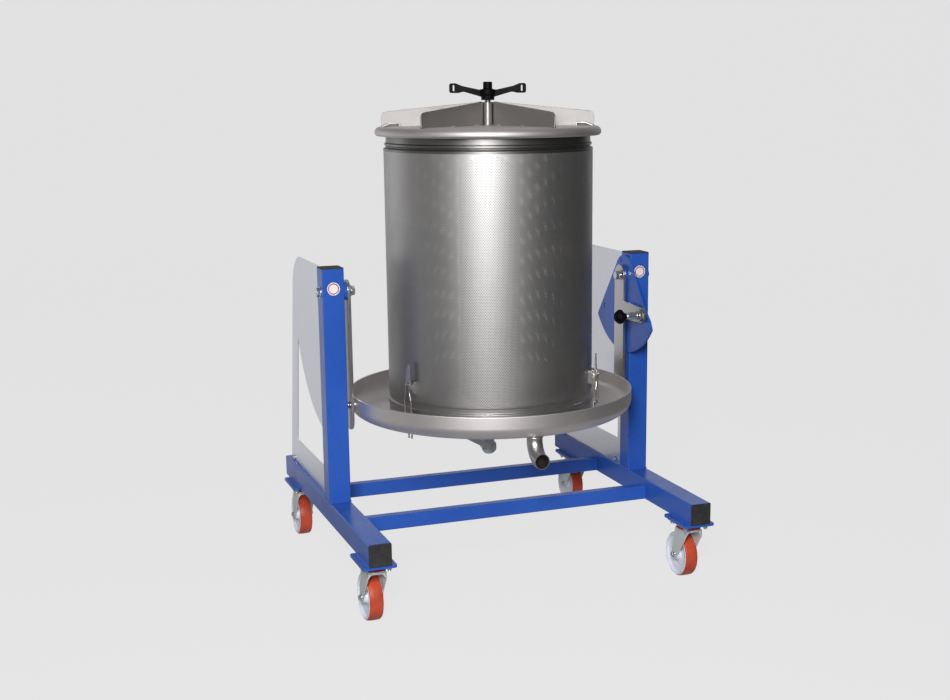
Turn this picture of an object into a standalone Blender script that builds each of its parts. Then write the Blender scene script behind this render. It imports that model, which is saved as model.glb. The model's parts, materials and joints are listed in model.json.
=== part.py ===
"""Tilting basket wine press with a water-filled membrane, on a castor frame.

Metres, +Z up, +X along the crossbars, -Y towards the juice spout (the front).
The origin is on the floor, under the middle of the frame.
"""

import math

import bmesh
import bpy
from mathutils import Matrix, Vector

# ---------------------------------------------------------------- driving sizes
GAP = 0.0003                     # free space between pieces that touch

# welded frame
TUBE = 0.060                     # square tube of the legs and posts
TUBE_WALL = 0.003
LEG_LENGTH = 0.950
LEG_X = 0.453                    # centre of each leg and post
LEG_BOTTOM = 0.175
LEG_TOP = LEG_BOTTOM + TUBE
POST_Y = -0.053
POST_TOP = 0.882                 # top of the post's cap
CAP = 0.003                      # thickness of an end cap's plate
CROSSBAR_SECTION = (0.030, 0.040)
CROSSBAR_YS = {"front_crossbar": -0.179, "rear_crossbar": 0.161}

# casters
WHEEL_RADIUS = 0.0625
TREAD_WIDTH = 0.037
HUB_WIDTH = 0.044
TRAIL = 0.038                    # the wheel's axle stands this far behind the swivel
CASTER_PAD = (0.090, 0.130, 0.008)
CASTER_YS = {"front": -0.409, "rear": 0.377}

# tilt axis and hanging arms
PIVOT_Y = POST_Y
PIVOT_Z = 0.815
PIVOT_BOLT_RADIUS = 0.008
PIVOT_BORE = 0.0086
ARM_WIDTH = 0.060
ARM_THICK = 0.008
ARM_X = 0.4085                   # middle of each arm's thickness
ARM_SHIFT_Y = 0.006
ARM_BOTTOM = 0.430
INDEX_RADIUS = 0.168             # the plunger's distance from the tilt axis
INDEX_ANGLES = (216.0, 320.0)    # the sector's two holes, from +Y towards +Z
SECTOR_RADIUS = 0.226
SECTOR_THICK = 0.006
PLUNGER_BORE = 0.0065

# drip tray and basket
BASKET_Y = -0.056
BASKET_RADIUS = 0.2866
BASKET_WALL = 0.002
BASKET_NECK = 0.2800
BASKET_TOP = 1.240
SHELL_TOP = 1.192                # end of the perforated part
TRAY_RADIUS = 0.399
TRAY_RIM = 0.5205
TRAY_BOTTOM = 0.453
TRAY_WALL = 0.0025
TRAY_FLOOR = TRAY_BOTTOM + TRAY_WALL
SPOUT_RADIUS = 0.021
SPOUT_WALL = 0.002
SPOUT_X = -0.008
SPOUT_Y = -0.407

# lid and its screw
LID_RADIUS = 0.3095
LID_TOP = 1.2480
LID_RIM_BOTTOM = 1.2225
LID_WALL = 0.0025
RIB_REACH = 0.290
RIB_TOP = 1.312
RIB_END_TOP = 1.286
HANDLE_BASE = 1.316
HANDLE_TOP = 1.365
ROD_RADIUS = 0.012
THREAD_RADIUS = 0.008
VIEW_SIDE = 249.8                # direction, about +Z, that the lid's open V faces

# latches that hold the basket down on the tray
LATCH_ANGLES = (203.3, 323.3, 83.3)
LATCH_PIVOT_Z = 0.560
LATCH_STAND_OFF = 0.0135         # lever pivot's distance from the basket wall

SEGMENTS = 40                    # facets round the tray, basket and lid
WHEEL_SEGMENTS = 24

# colour, roughness, metallic
PALETTE = {
    "blue_paint": ((0.03, 0.11, 0.46), 0.35, 0.0),
    "black_plastic": ((0.02, 0.02, 0.022), 0.45, 0.0),
    "guard_sheet": ((0.55, 0.56, 0.62), 0.30, 0.6),
    "stainless": ((0.42, 0.40, 0.38), 0.32, 1.0),
    "zinc": ((0.55, 0.58, 0.60), 0.38, 1.0),
    "white_hub": ((0.62, 0.66, 0.72), 0.45, 0.0),
    "red_tread": ((0.50, 0.06, 0.03), 0.55, 0.0),
    "rubber": ((0.03, 0.03, 0.03), 0.80, 0.0),
    "gasket": ((0.70, 0.70, 0.66), 0.70, 0.0),
}


# ---------------------------------------------------------------- scene helpers
def clear_scene():
    for obj in list(bpy.data.objects):
        bpy.data.objects.remove(obj, do_unlink=True)


def new_collection(name):
    collection = bpy.data.collections.new(name)
    bpy.context.scene.collection.children.link(collection)
    return collection


def make_material(name):
    colour, roughness, metallic = PALETTE[name]
    material = bpy.data.materials.new(name)
    material.use_nodes = True
    shader = material.node_tree.nodes["Principled BSDF"]
    shader.inputs["Base Color"].default_value = (*colour, 1.0)
    shader.inputs["Roughness"].default_value = roughness
    shader.inputs["Metallic"].default_value = metallic
    return material


clear_scene()
PARTS = new_collection("basket_wine_press")
CUTTERS = new_collection("cutters")
MATERIALS = {name: make_material(name) for name in PALETTE}


def empty(name, location, parent=None, rotation=(0.0, 0.0, 0.0)):
    """An axis or centre that pieces hang on."""
    obj = bpy.data.objects.new(name, None)
    obj.empty_display_size = 0.05
    obj.location = location
    obj.rotation_euler = rotation
    obj.parent = parent
    PARTS.objects.link(obj)
    return obj


def place(obj, name, material, parent=None, location=(0.0, 0.0, 0.0), rotation=(0.0, 0.0, 0.0)):
    """Names a finished piece and puts it in its parent's frame."""
    obj.name = name
    obj.data.name = name
    obj.location = location
    obj.rotation_euler = rotation
    obj.parent = parent
    obj.data.materials.clear()
    obj.data.materials.append(MATERIALS[material])
    if obj.type == "MESH":
        obj.data.shade_smooth()
        obj.data.set_sharp_from_angle(angle=math.radians(35))
    return obj


def as_tool(obj, owner):
    """Turns a shape into a cutter or an added piece that lives in its owner's frame."""
    CUTTERS.objects.link(obj)
    PARTS.objects.unlink(obj)
    obj.parent = owner
    obj.hide_render = True
    obj.display_type = "WIRE"


def combine(obj, tools, operation):
    for tool in tools:
        as_tool(tool, obj)
        modifier = obj.modifiers.new(operation.lower(), "BOOLEAN")
        modifier.operation = operation
        modifier.object = tool
        modifier.solver = "EXACT"
    return obj


def cut(obj, *tools):
    return combine(obj, tools, "DIFFERENCE")


def weld(obj, *tools):
    return combine(obj, tools, "UNION")


# ---------------------------------------------------------------- shape helpers
def mesh_object(name, builder):
    """A mesh object filled by builder(bm)."""
    bm = bmesh.new()
    builder(bm)
    mesh = bpy.data.meshes.new(name)
    bm.to_mesh(mesh)
    bm.free()
    obj = bpy.data.objects.new(name, mesh)
    PARTS.objects.link(obj)
    return obj


def box(size, centre=(0.0, 0.0, 0.0)):
    matrix = Matrix.Translation(centre) @ Matrix.Diagonal((*size, 1.0))
    return mesh_object("box", lambda bm: bmesh.ops.create_cube(bm, size=1.0, matrix=matrix))


ALONG = {"X": Matrix.Rotation(math.pi / 2, 4, "Y"), "Y": Matrix.Rotation(-math.pi / 2, 4, "X"),
         "Z": Matrix.Identity(4)}


def rod(radius, length, centre=(0.0, 0.0, 0.0), axis="Z", sides=16):
    """A solid cylinder; with six sides it is a hexagon head."""
    matrix = Matrix.Translation(centre) @ ALONG[axis]
    return mesh_object("rod", lambda bm: bmesh.ops.create_cone(
        bm, cap_ends=True, segments=sides, radius1=radius, radius2=radius, depth=length, matrix=matrix))


def turned(profile, closed=False, steps=SEGMENTS, start=0.0):
    """A body of revolution about Z from (radius, height) points, outer side top to bottom."""
    def build(bm):
        corners = [bm.verts.new((radius * math.cos(start), radius * math.sin(start), height))
                   for radius, height in profile]
        for first, second in zip(corners, corners[1:]):
            bm.edges.new((first, second))
        if closed:
            bm.edges.new((corners[-1], corners[0]))

    obj = mesh_object("turned", build)
    screw = obj.modifiers.new("turn", "SCREW")
    screw.axis = "Z"
    screw.steps = steps
    screw.render_steps = steps
    screw.use_merge_vertices = True
    screw.merge_threshold = 0.00001
    return obj


def baked(obj, matrix=None):
    """Makes the evaluated shape of a curve or modified mesh into a plain mesh."""
    bpy.context.view_layer.update()
    evaluated = obj.evaluated_get(bpy.context.evaluated_depsgraph_get())
    mesh = bpy.data.meshes.new_from_object(evaluated)
    bm = bmesh.new()
    bm.from_mesh(mesh)
    bmesh.ops.remove_doubles(bm, verts=bm.verts, dist=0.00001)
    bmesh.ops.transform(bm, matrix=matrix or Matrix.Identity(4), verts=bm.verts)
    bm.to_mesh(mesh)
    bm.free()
    result = bpy.data.objects.new("baked", mesh)
    result.matrix_world = obj.matrix_world.copy()
    PARTS.objects.link(result)
    bpy.data.objects.remove(obj, do_unlink=True)
    return result


def outline(loops, thickness):
    """A flat plate in XY from an outer loop and any holes, centred on Z = 0."""
    curve = bpy.data.curves.new("outline", "CURVE")
    curve.dimensions = "2D"
    curve.fill_mode = "BOTH"
    curve.extrude = thickness / 2
    for loop in loops:
        spline = curve.splines.new("POLY")
        spline.points.add(len(loop) - 1)
        for point, (x, y) in zip(spline.points, loop):
            point.co = (x, y, 0.0, 1.0)
        spline.use_cyclic_u = True
    obj = bpy.data.objects.new("outline", curve)
    PARTS.objects.link(obj)
    return obj


# a plate drawn with X as world Y and Y as world Z, its thickness along world X
UPRIGHT = (math.pi / 2, 0.0, math.pi / 2)
UPRIGHT_MATRIX = Matrix.Rotation(math.pi / 2, 4, "Z") @ Matrix.Rotation(math.pi / 2, 4, "X")


def upright_plate(loops, thickness, x=0.0):
    """The same plate as a mesh, standing in the YZ plane at x."""
    return baked(outline(loops, thickness), Matrix.Translation((x, 0.0, 0.0)) @ UPRIGHT_MATRIX)


def wire(points, radius):
    """A round wire or bent bar along the points, with filled ends."""
    curve = bpy.data.curves.new("wire", "CURVE")
    curve.dimensions = "3D"
    curve.bevel_depth = radius
    curve.bevel_resolution = 2
    curve.use_fill_caps = True
    spline = curve.splines.new("POLY")
    spline.points.add(len(points) - 1)
    for point, place_on_wire in zip(spline.points, points):
        point.co = (*place_on_wire, 1.0)
    obj = bpy.data.objects.new("wire", curve)
    PARTS.objects.link(obj)
    return obj


def arc(centre, radius, start, end, count, radius_y=None):
    """Points along an arc; angles in degrees."""
    tall = radius if radius_y is None else radius_y
    angles = [math.radians(start + (end - start) * i / (count - 1)) for i in range(count)]
    return [(centre[0] + radius * math.cos(a), centre[1] + tall * math.sin(a)) for a in angles]


def filleted(corners, count=5):
    """A loop whose corners, given as (x, y, radius), are rounded off."""
    points = []
    for i, (x, y, radius) in enumerate(corners):
        here = Vector((x, y))
        before = (Vector(corners[i - 1][:2]) - here).normalized()
        after = (Vector(corners[(i + 1) % len(corners)][:2]) - here).normalized()
        if radius == 0.0:
            points.append((x, y))
            continue
        half = before.angle(after) / 2
        centre = here + (before + after).normalized() * radius / math.sin(half)
        start = here + before * radius / math.tan(half) - centre
        end = here + after * radius / math.tan(half) - centre
        sweep = start.angle_signed(end)
        for step in range(count):
            turn = -sweep * step / (count - 1)
            points.append(tuple(centre + Matrix.Rotation(turn, 2) @ start))
    return points


def hexagon_bolt(across, head, shaft_radius, length, grip, sign=1.0):
    """A bolt whose head ends at x = 0, going towards +X or -X, with a nut beyond its grip."""
    corner = across / 2 / math.cos(math.pi / 6)

    def along(distance):
        return (sign * distance, 0.0, 0.0)

    bolt = rod(corner, head, along(-head / 2), "X", sides=6)
    shaft = rod(shaft_radius, length + head / 2, along(length / 2 - head / 4), "X")
    nut = rod(corner, head, along(grip + head / 2), "X", sides=6)
    return weld(bolt, shaft, nut)


# ---------------------------------------------------------------- frame
SIDES = {"left": -1.0, "right": 1.0}
ENDS = {"front": -1.0, "rear": 1.0}
BORE = TUBE - 2 * TUBE_WALL
PLUG_DEPTH = 0.018


def leg(side, sign):
    tube = box((TUBE, LEG_LENGTH, TUBE))
    hollow = box((BORE, LEG_LENGTH + 0.01, BORE))
    pads = []
    for y in CASTER_YS.values():
        height = CASTER_PAD[2] + TUBE_WALL / 2
        pads.append(box((CASTER_PAD[0], CASTER_PAD[1], height),
                        (0.0, y, -TUBE / 2 - CASTER_PAD[2] + height / 2)))
    weld(tube, *pads)
    cut(tube, hollow)
    place(tube, f"{side}_leg", "blue_paint", location=(sign * LEG_X, 0.0, LEG_BOTTOM + TUBE / 2))


def tube_cap(name, location, rotation):
    """A cap's plate lies outside z = 0, and its plug goes down the tube."""
    plate = box((TUBE, TUBE, CAP), (0.0, 0.0, GAP + CAP / 2))
    plug = BORE - 2 * GAP
    weld(plate, box((plug, plug, PLUG_DEPTH), (0.0, 0.0, GAP + CAP / 2 - PLUG_DEPTH / 2)))
    place(plate, name, "black_plastic", location=location, rotation=rotation)


def leg_caps(side, sign):
    for end, direction in ENDS.items():
        tube_cap(f"{side}_{end}_leg_cap",
                 (sign * LEG_X, direction * LEG_LENGTH / 2, LEG_BOTTOM + TUBE / 2),
                 (-direction * math.pi / 2, 0.0, 0.0))


def post(side, sign):
    bottom = LEG_TOP + GAP
    top = POST_TOP - CAP - GAP
    middle = (bottom + top) / 2
    tube = box((TUBE, TUBE, top - bottom))
    cut(tube, box((BORE, BORE, 1.0)),
        rod(PIVOT_BORE, TUBE * 2, (0.0, 0.0, PIVOT_Z - middle), "X"))
    place(tube, f"{side}_post", "blue_paint", location=(sign * LEG_X, POST_Y, middle))
    tube_cap(f"{side}_post_cap", (sign * LEG_X, POST_Y, top), (0.0, 0.0, 0.0))


def crossbar(name, y):
    depth, height = CROSSBAR_SECTION
    wall = 0.002
    length = 2 * (LEG_X - TUBE / 2) - 2 * GAP
    bar = box((length, depth, height))
    cut(bar, box((length + 0.01, depth - 2 * wall, height - 2 * wall)))
    place(bar, name, "blue_paint", location=(0.0, y, LEG_BOTTOM + height / 2))


def guard(name, x):
    """A thin side plate behind a post; its window follows the tray's path about the pivot."""
    front = POST_Y + TUBE / 2 + 0.002
    bottom = LEG_TOP + 0.002
    top = POST_TOP - 0.004
    foot_y = 0.453
    lean = 0.187                 # how much the rear edge leans forward per metre of height
    rim = 0.079                  # width of the strip round the window

    def rear(z):
        return foot_y - lean * (z - bottom)

    border = filleted([(front, bottom, 0.0), (foot_y, bottom, 0.004),
                       (rear(top), top, 0.110), (front, top, 0.004)], count=9)
    clearance = 0.400            # radius of the window's upper edge about the pivot
    sill = bottom + 0.077
    window_front = front + 0.026
    first = -math.degrees(math.acos((window_front - PIVOT_Y) / clearance))
    last = -27.0
    window = [(window_front, sill), (rear(sill) - rim, sill)]
    window += arc((PIVOT_Y, PIVOT_Z), clearance, last, first, 9)
    plate = outline([border, window], 0.002)
    place(plate, name, "guard_sheet", location=(x, 0.0, 0.0), rotation=UPRIGHT)


def pivot_boss():
    length = LEG_X - TUBE / 2 - ARM_X - ARM_THICK / 2 - 2 * GAP
    outer = 0.024
    profile = [(outer, length / 2), (outer, -length / 2), (PIVOT_BORE, -length / 2), (PIVOT_BORE, length / 2)]
    ring = turned(profile, closed=True, steps=20)
    place(ring, "left_pivot_boss", "blue_paint", rotation=(0.0, math.pi / 2, 0.0),
          location=(-(LEG_X - TUBE / 2 - GAP - length / 2), PIVOT_Y, PIVOT_Z))


def index_sector():
    """The fan-shaped plate whose two holes set the basket upright or tipped."""
    thick = SECTOR_THICK
    fan = arc((0.0, 0.0), SECTOR_RADIUS, 217.0, 322.5, 15)
    fan += arc((0.0, 0.0), 0.058, 30.0, 155.0, 8)
    fan += [(-0.122, -0.070), (-0.168, -0.112)]
    holes = [arc((0.0, 0.0), PIVOT_BORE, 0.0, 337.5, 16)]
    for angle in INDEX_ANGLES:
        centre = (INDEX_RADIUS * math.cos(math.radians(angle)), INDEX_RADIUS * math.sin(math.radians(angle)))
        holes.append(arc(centre, 0.0075, 0.0, 330.0, 12))
    plate = upright_plate([fan] + holes, thick)
    spacer = LEG_X - TUBE / 2 - ARM_X - ARM_THICK / 2 - thick - 2 * GAP
    ring = rod(0.022, spacer + thick / 2, (-thick / 4 - spacer / 2, 0.0, 0.0), "X", sides=20)
    weld(plate, ring)
    cut(plate, rod(PIVOT_BORE, 0.05, axis="X"))
    place(plate, "index_sector", "blue_paint",
          location=(LEG_X - TUBE / 2 - GAP - thick / 2, PIVOT_Y, PIVOT_Z))


def pivot_bolt(side, sign):
    outer = LEG_X + TUBE / 2 + GAP
    inner = ARM_X - ARM_THICK / 2 - GAP
    grip = outer - inner
    bolt = hexagon_bolt(0.022, 0.010, PIVOT_BOLT_RADIUS, grip + 0.014, grip, -sign)
    place(bolt, f"{side}_pivot_bolt", "zinc", location=(sign * outer, PIVOT_Y, PIVOT_Z))


def frame():
    for side, sign in SIDES.items():
        leg(side, sign)
        leg_caps(side, sign)
        post(side, sign)
        pivot_bolt(side, sign)
    for name, y in CROSSBAR_YS.items():
        crossbar(name, y)
    guard("left_guard", -0.468)
    guard("right_guard", 0.430)
    pivot_boss()
    index_sector()


# ---------------------------------------------------------------- casters
PLATE_TOP = LEG_BOTTOM - CASTER_PAD[2] - GAP
PLATE_THICK = 0.003
RACE_BOTTOM = 0.152
AXLE_RADIUS = 0.005
CHEEK = 0.003
HUB_PLAY = 0.0005                # between the hub and each cheek
TREAD_SEAT = 0.0575              # radius where the tread sits on the core
FORK_HALF = 0.030                # half of the fork's length at its head


def caster_plate(name, parent):
    plate = box((0.085, 0.105, PLATE_THICK), (0.0, 0.0, PLATE_TOP - PLATE_THICK / 2))
    race = turned([(0.0, PLATE_TOP - PLATE_THICK / 2), (0.034, PLATE_TOP - PLATE_THICK / 2),
                   (0.034, PLATE_TOP - PLATE_THICK - 0.003), (0.030, RACE_BOTTOM), (0.0, RACE_BOTTOM)],
                  steps=20)
    weld(plate, race)
    place(plate, name, "zinc", parent)


def fork(name, parent):
    """A pressed sheet: a head under the race, a lip at its front, two cheeks down to the axle."""
    top = RACE_BOTTOM - GAP
    low = top - 0.007
    reach = HUB_WIDTH / 2 + HUB_PLAY + CHEEK / 2
    disc = turned([(0.0, top), (0.031, top), (0.032, top - 0.002), (0.030, low), (0.0, low)], steps=20)
    head = box((2 * reach + CHEEK, 2 * FORK_HALF, 0.004), (0.0, 0.0, low + 0.002))
    lip = box((2 * reach + CHEEK, CHEEK, 0.014), (0.0, CHEEK / 2 - FORK_HALF, low - 0.003))
    boss = 0.014
    side_view = [(-FORK_HALF, low + 0.004), (-FORK_HALF, low - 0.012)]
    side_view += arc((TRAIL, WHEEL_RADIUS), boss, 215.0, 395.0, 7)
    side_view += [(0.040, low - 0.022), (FORK_HALF, low + 0.004)]
    weld(disc, head, lip, upright_plate([side_view], CHEEK, -reach), upright_plate([side_view], CHEEK, reach))
    cut(disc, rod(AXLE_RADIUS + 0.0004, 0.08, (0.0, TRAIL, WHEEL_RADIUS), "X"))
    place(disc, name, "zinc", parent)


def axle(name, parent):
    outer = HUB_WIDTH / 2 + HUB_PLAY + CHEEK + GAP
    bolt = hexagon_bolt(0.016, 0.006, AXLE_RADIUS, 2 * outer + 0.006, 2 * outer)
    place(bolt, name, "zinc", parent, location=(-outer, TRAIL, WHEEL_RADIUS))


def wheel_core(name, parent):
    half_hub = HUB_WIDTH / 2
    bore = AXLE_RADIUS + 0.0006
    half = [(TREAD_SEAT, 0.0180), (0.052, 0.0180), (0.049, 0.006), (0.017, 0.006), (0.015, half_hub)]
    profile = [(bore, half_hub)] + half[::-1] + [(radius, -x) for radius, x in half] + [(bore, -half_hub)]
    core = turned(profile, closed=True, steps=20)
    place(core, name, "white_hub", parent, rotation=(0.0, math.pi / 2, 0.0))


def wheel_tread(name, parent):
    """The tyre's flats are at the wheel's radius, and one of them lies on the floor."""
    outer = WHEEL_RADIUS / math.cos(math.pi / WHEEL_SEGMENTS)
    inner = (TREAD_SEAT + GAP) / math.cos(math.pi / WHEEL_SEGMENTS)
    half = TREAD_WIDTH / 2
    edge = 0.003
    profile = [(outer - edge, half), (outer, half - edge), (outer, edge - half), (outer - edge, -half),
               (inner, -half), (inner, half)]
    tread = turned(profile, closed=True, steps=WHEEL_SEGMENTS, start=math.pi / WHEEL_SEGMENTS)
    place(tread, name, "red_tread", parent, rotation=(0.0, math.pi / 2, 0.0))


def casters():
    for side, sign in SIDES.items():
        for end, y in CASTER_YS.items():
            corner = f"{end}_{side}"
            swivel = empty(f"{corner}_swivel_axis", (sign * LEG_X, y, 0.0))
            caster_plate(f"{corner}_caster_plate", swivel)
            fork(f"{corner}_fork", swivel)
            axle(f"{corner}_axle", swivel)
            spin = empty(f"{corner}_wheel_axis", (0.0, TRAIL, WHEEL_RADIUS), swivel)
            wheel_core(f"{corner}_wheel", spin)
            wheel_tread(f"{corner}_tread", spin)


# ---------------------------------------------------------------- arms and index plunger
def arm_loop(with_tab):
    """The arm's side view about the pivot: a bar with round ends, and a tab for the plunger."""
    half = ARM_WIDTH / 2
    foot = ARM_BOTTOM - PIVOT_Z + half
    loop = arc((ARM_SHIFT_Y, 0.0), half, 0.0, 180.0, 9)
    if with_tab:
        plunger_y = INDEX_RADIUS * math.cos(math.radians(INDEX_ANGLES[0]))
        plunger_z = INDEX_RADIUS * math.sin(math.radians(INDEX_ANGLES[0]))
        loop += [(ARM_SHIFT_Y - half, plunger_z + 0.025)]
        loop += arc((plunger_y, plunger_z), 0.022, 90.0, 270.0, 7)
        loop += [(ARM_SHIFT_Y - half, plunger_z - 0.026)]
    loop += arc((ARM_SHIFT_Y, foot), half, 180.0, 360.0, 9)
    return loop


def arm(side, sign, tilt):
    """A flat bar from the pivot down to a boss bolted to the tray's wall."""
    plate = upright_plate([arm_loop(side == "right")], ARM_THICK)
    inward = -sign
    length = ARM_X - ARM_THICK / 2 - TRAY_RADIUS - GAP
    boss = rod(0.014, length + ARM_THICK / 2,
               (inward * (ARM_THICK / 4 + length / 2), BASKET_Y - PIVOT_Y, TRAY_RIM - 0.020 - PIVOT_Z), "X")
    weld(plate, boss)
    cut(plate, rod(PIVOT_BORE, 0.05, axis="X"))
    if side == "right":
        angle = math.radians(INDEX_ANGLES[0])
        y, z = INDEX_RADIUS * math.cos(angle), INDEX_RADIUS * math.sin(angle)
        cut(plate, rod(PLUNGER_BORE, 0.05, (0.0, y, z), "X"))
    place(plate, f"{side}_arm", "stainless", tilt, location=(sign * ARM_X, 0.0, 0.0))


def index_plunger(tilt):
    """A sleeve on the arm, with a pin and knob that slide through it."""
    angle = math.radians(INDEX_ANGLES[0])
    y, z = INDEX_RADIUS * math.cos(angle), INDEX_RADIUS * math.sin(angle)
    face = ARM_X - ARM_THICK / 2 - GAP
    nose = 0.360                 # inner end of the sleeve
    along_x = (0.0, math.pi / 2, 0.0)
    length = face - nose
    profile = [(PLUNGER_BORE, length), (PLUNGER_BORE, 0.0), (0.009, 0.0), (0.0105, 0.010), (0.0105, length)]
    sleeve = turned(profile, closed=True, steps=16)
    flange = rod(0.019, 0.005, (0.0, 0.0, length - 0.0025), sides=6)
    weld(sleeve, flange)
    cut(sleeve, rod(PLUNGER_BORE, 0.2))
    place(sleeve, "plunger_sleeve", "zinc", tilt, location=(nose, y, z), rotation=along_x)

    parked = 0.0012              # the pin's end stands this far from the sector
    pin_end = LEG_X - TUBE / 2 - GAP - SECTOR_THICK - parked
    pin_start = 0.345
    axis = empty("plunger_axis", (pin_start, y, z), tilt)
    pin = rod(0.0058, pin_end - pin_start, ((pin_end - pin_start) / 2, 0.0, 0.0), "X")
    place(pin, "plunger_pin", "zinc", axis)
    knob = turned([(0.0, 0.014)] + arc((0.0, -0.002), 0.0205, 48.0, -48.0, 5)
                  + [(0.0062, -0.0172), (0.0062, 0.003), (0.0, 0.003)], steps=16)
    place(knob, "plunger_knob", "black_plastic", axis, location=(-0.004, 0.0, 0.0),
          rotation=(0.0, -math.pi / 2, 0.0))


# ---------------------------------------------------------------- tray, spout and water inlet
def latch_hook(angle):
    """A bent bracket on the tray floor whose lip holds down a latch's wire."""
    foot, face, lip = BASKET_RADIUS + 0.0125, BASKET_RADIUS + 0.0160, BASKET_RADIUS + 0.0235
    top = TRAY_FLOOR + 0.0395
    side_view = [(foot, TRAY_FLOOR - 0.001), (face, TRAY_FLOOR - 0.001), (face, top - 0.003),
                 (lip, top - 0.003), (lip, top), (foot, top)]
    matrix = Matrix.Rotation(math.radians(angle), 4, "Z") @ Matrix.Rotation(math.pi / 2, 4, "X")
    return baked(outline([side_view], 0.020), matrix)


def drip_tray(centre):
    knee = 0.345                 # radius where the flat floor starts to turn up
    rise = 0.025
    outer = [(TRAY_RADIUS - 0.0006, TRAY_RIM), (TRAY_RADIUS, TRAY_RIM - 0.0008)]
    outer += arc((knee, TRAY_BOTTOM + rise), TRAY_RADIUS - knee, 0.0, -90.0, 5, rise)
    inner = arc((knee, TRAY_BOTTOM + rise), TRAY_RADIUS - knee - TRAY_WALL, -90.0, 0.0, 5, rise - TRAY_WALL)
    inner.append((TRAY_RADIUS - TRAY_WALL, TRAY_RIM))
    hole = 0.0135
    tray = turned(outer + [(hole, TRAY_BOTTOM), (hole, TRAY_FLOOR)] + inner, closed=True)
    for angle in LATCH_ANGLES:
        weld(tray, latch_hook(angle))
    cut(tray, rod(SPOUT_RADIUS + GAP, 0.06, (SPOUT_X, SPOUT_Y - BASKET_Y, TRAY_BOTTOM), sides=20))
    place(tray, "drip_tray", "stainless", centre)


def pipe(points, outer_radius, inner_radius):
    """A bent pipe that is open at both ends."""
    body = baked(wire(points, outer_radius))
    first, last = Vector(points[0]), Vector(points[-1])
    start = first + (first - Vector(points[1])).normalized() * 0.01
    end = last + (last - Vector(points[-2])).normalized() * 0.01
    bore = baked(wire([tuple(start)] + points + [tuple(end)], inner_radius))
    return cut(body, bore)


def spout(centre):
    """The juice pipe: down out of the tray, then round to the front."""
    bend = 0.050
    top = TRAY_FLOOR + 0.0035
    drop = TRAY_BOTTOM - 0.006
    y = SPOUT_Y - BASKET_Y
    points = [(SPOUT_X, y, top)]
    points += [(SPOUT_X, across, height) for across, height in
               arc((y - bend, drop), bend, 0.0, -90.0, 7)]
    points.append((SPOUT_X, y - bend - 0.004, drop - bend))
    body = pipe(points, SPOUT_RADIUS, SPOUT_RADIUS - SPOUT_WALL)
    place(body, "spout", "stainless", centre)


INLET_Z = 0.345


def water_inlet(centre):
    """The water pipe under the tray's middle: a valve body with its hose end to the rear."""
    radius = 0.0165
    top = TRAY_BOTTOM - GAP
    flange = [(0.0, top), (0.024, top), (0.024, top - 0.008), (radius, top - 0.010)]
    ball = arc((0.0, INLET_Z), 0.0215, 50.0, -90.0, 6)
    body = turned(flange + [(radius, INLET_Z + 0.018)] + ball, steps=18)
    tail = rod(0.0145, 0.070, (0.0, 0.035, INLET_Z), "Y")
    collar = rod(0.0190, 0.016, (0.0, 0.026, INLET_Z), "Y", sides=6)
    stem = rod(0.006, 0.030, (0.0, -0.018, INLET_Z), "Y", sides=12)
    weld(body, tail, collar, stem)
    cut(body, rod(0.009, 0.2, (0.0, 0.0, INLET_Z + 0.1)), rod(0.009, 0.1, (0.0, 0.05, INLET_Z), "Y"))
    place(body, "water_inlet", "zinc", centre, location=(-0.007, 0.0, 0.0))


def valve_lever(centre):
    """A flat lever that turns the water valve, on the stem at its front."""
    axis = empty("valve_axis", (-0.007, -0.0285, INLET_Z), centre)
    length = 0.100
    loop = arc((0.0, 0.0), 0.012, -90.0, 90.0, 7) + arc((-length, 0.0), 0.009, 90.0, 270.0, 7)
    plate = baked(outline([loop, arc((0.0, 0.0), 0.0065, 0.0, 330.0, 12)], 0.003),
                  Matrix.Rotation(math.radians(30.0), 4, "Y") @ Matrix.Rotation(math.pi / 2, 4, "X"))
    place(plate, "valve_lever", "zinc", axis)


# ---------------------------------------------------------------- basket and its insides
def basket(centre):
    wall, neck = BASKET_RADIUS, BASKET_NECK
    bottom = TRAY_FLOOR + GAP
    inner = wall - BASKET_WALL
    neck_inner = neck - BASKET_WALL
    profile = [(neck, BASKET_TOP), (neck, SHELL_TOP + 0.012), (neck + 0.0035, SHELL_TOP + 0.010),
               (neck + 0.0035, SHELL_TOP + 0.006), (neck, SHELL_TOP + 0.004), (neck, SHELL_TOP + 0.002),
               (wall, SHELL_TOP - 0.002), (wall, 0.517), (wall + 0.0035, 0.514), (wall + 0.0035, 0.499),
               (wall, 0.496), (wall, bottom), (inner, bottom), (inner, SHELL_TOP - 0.003),
               (neck_inner, SHELL_TOP + 0.001), (neck_inner, BASKET_TOP)]
    shell = turned(profile, closed=True)
    for angle in LATCH_ANGLES:
        turn = Matrix.Rotation(math.radians(angle), 4, "Z")
        for ear in (-1.0, 1.0):
            plate = box((0.019, 0.003, 0.034), (wall + 0.0080, ear * 0.0125, LATCH_PIVOT_Z))
            plate.data.transform(turn)
            weld(shell, plate)
    place(shell, "basket", "stainless", centre)


def membrane(centre):
    """The rubber bladder: a thick-walled sleeve, necked in at both ends round the rod."""
    thick = 0.004
    body, neck, foot = 0.085, 0.030, 0.047
    top, bottom = 1.175, TRAY_FLOOR + 0.001
    profile = [(neck, top), (neck, top - 0.010), (body, top - 0.045), (body, bottom + 0.045),
               (foot, bottom + 0.010), (foot, bottom)]
    profile += [(radius - thick, height) for radius, height in reversed(profile)]
    place(turned(profile, closed=True, steps=16), "membrane", "rubber", centre)


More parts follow.
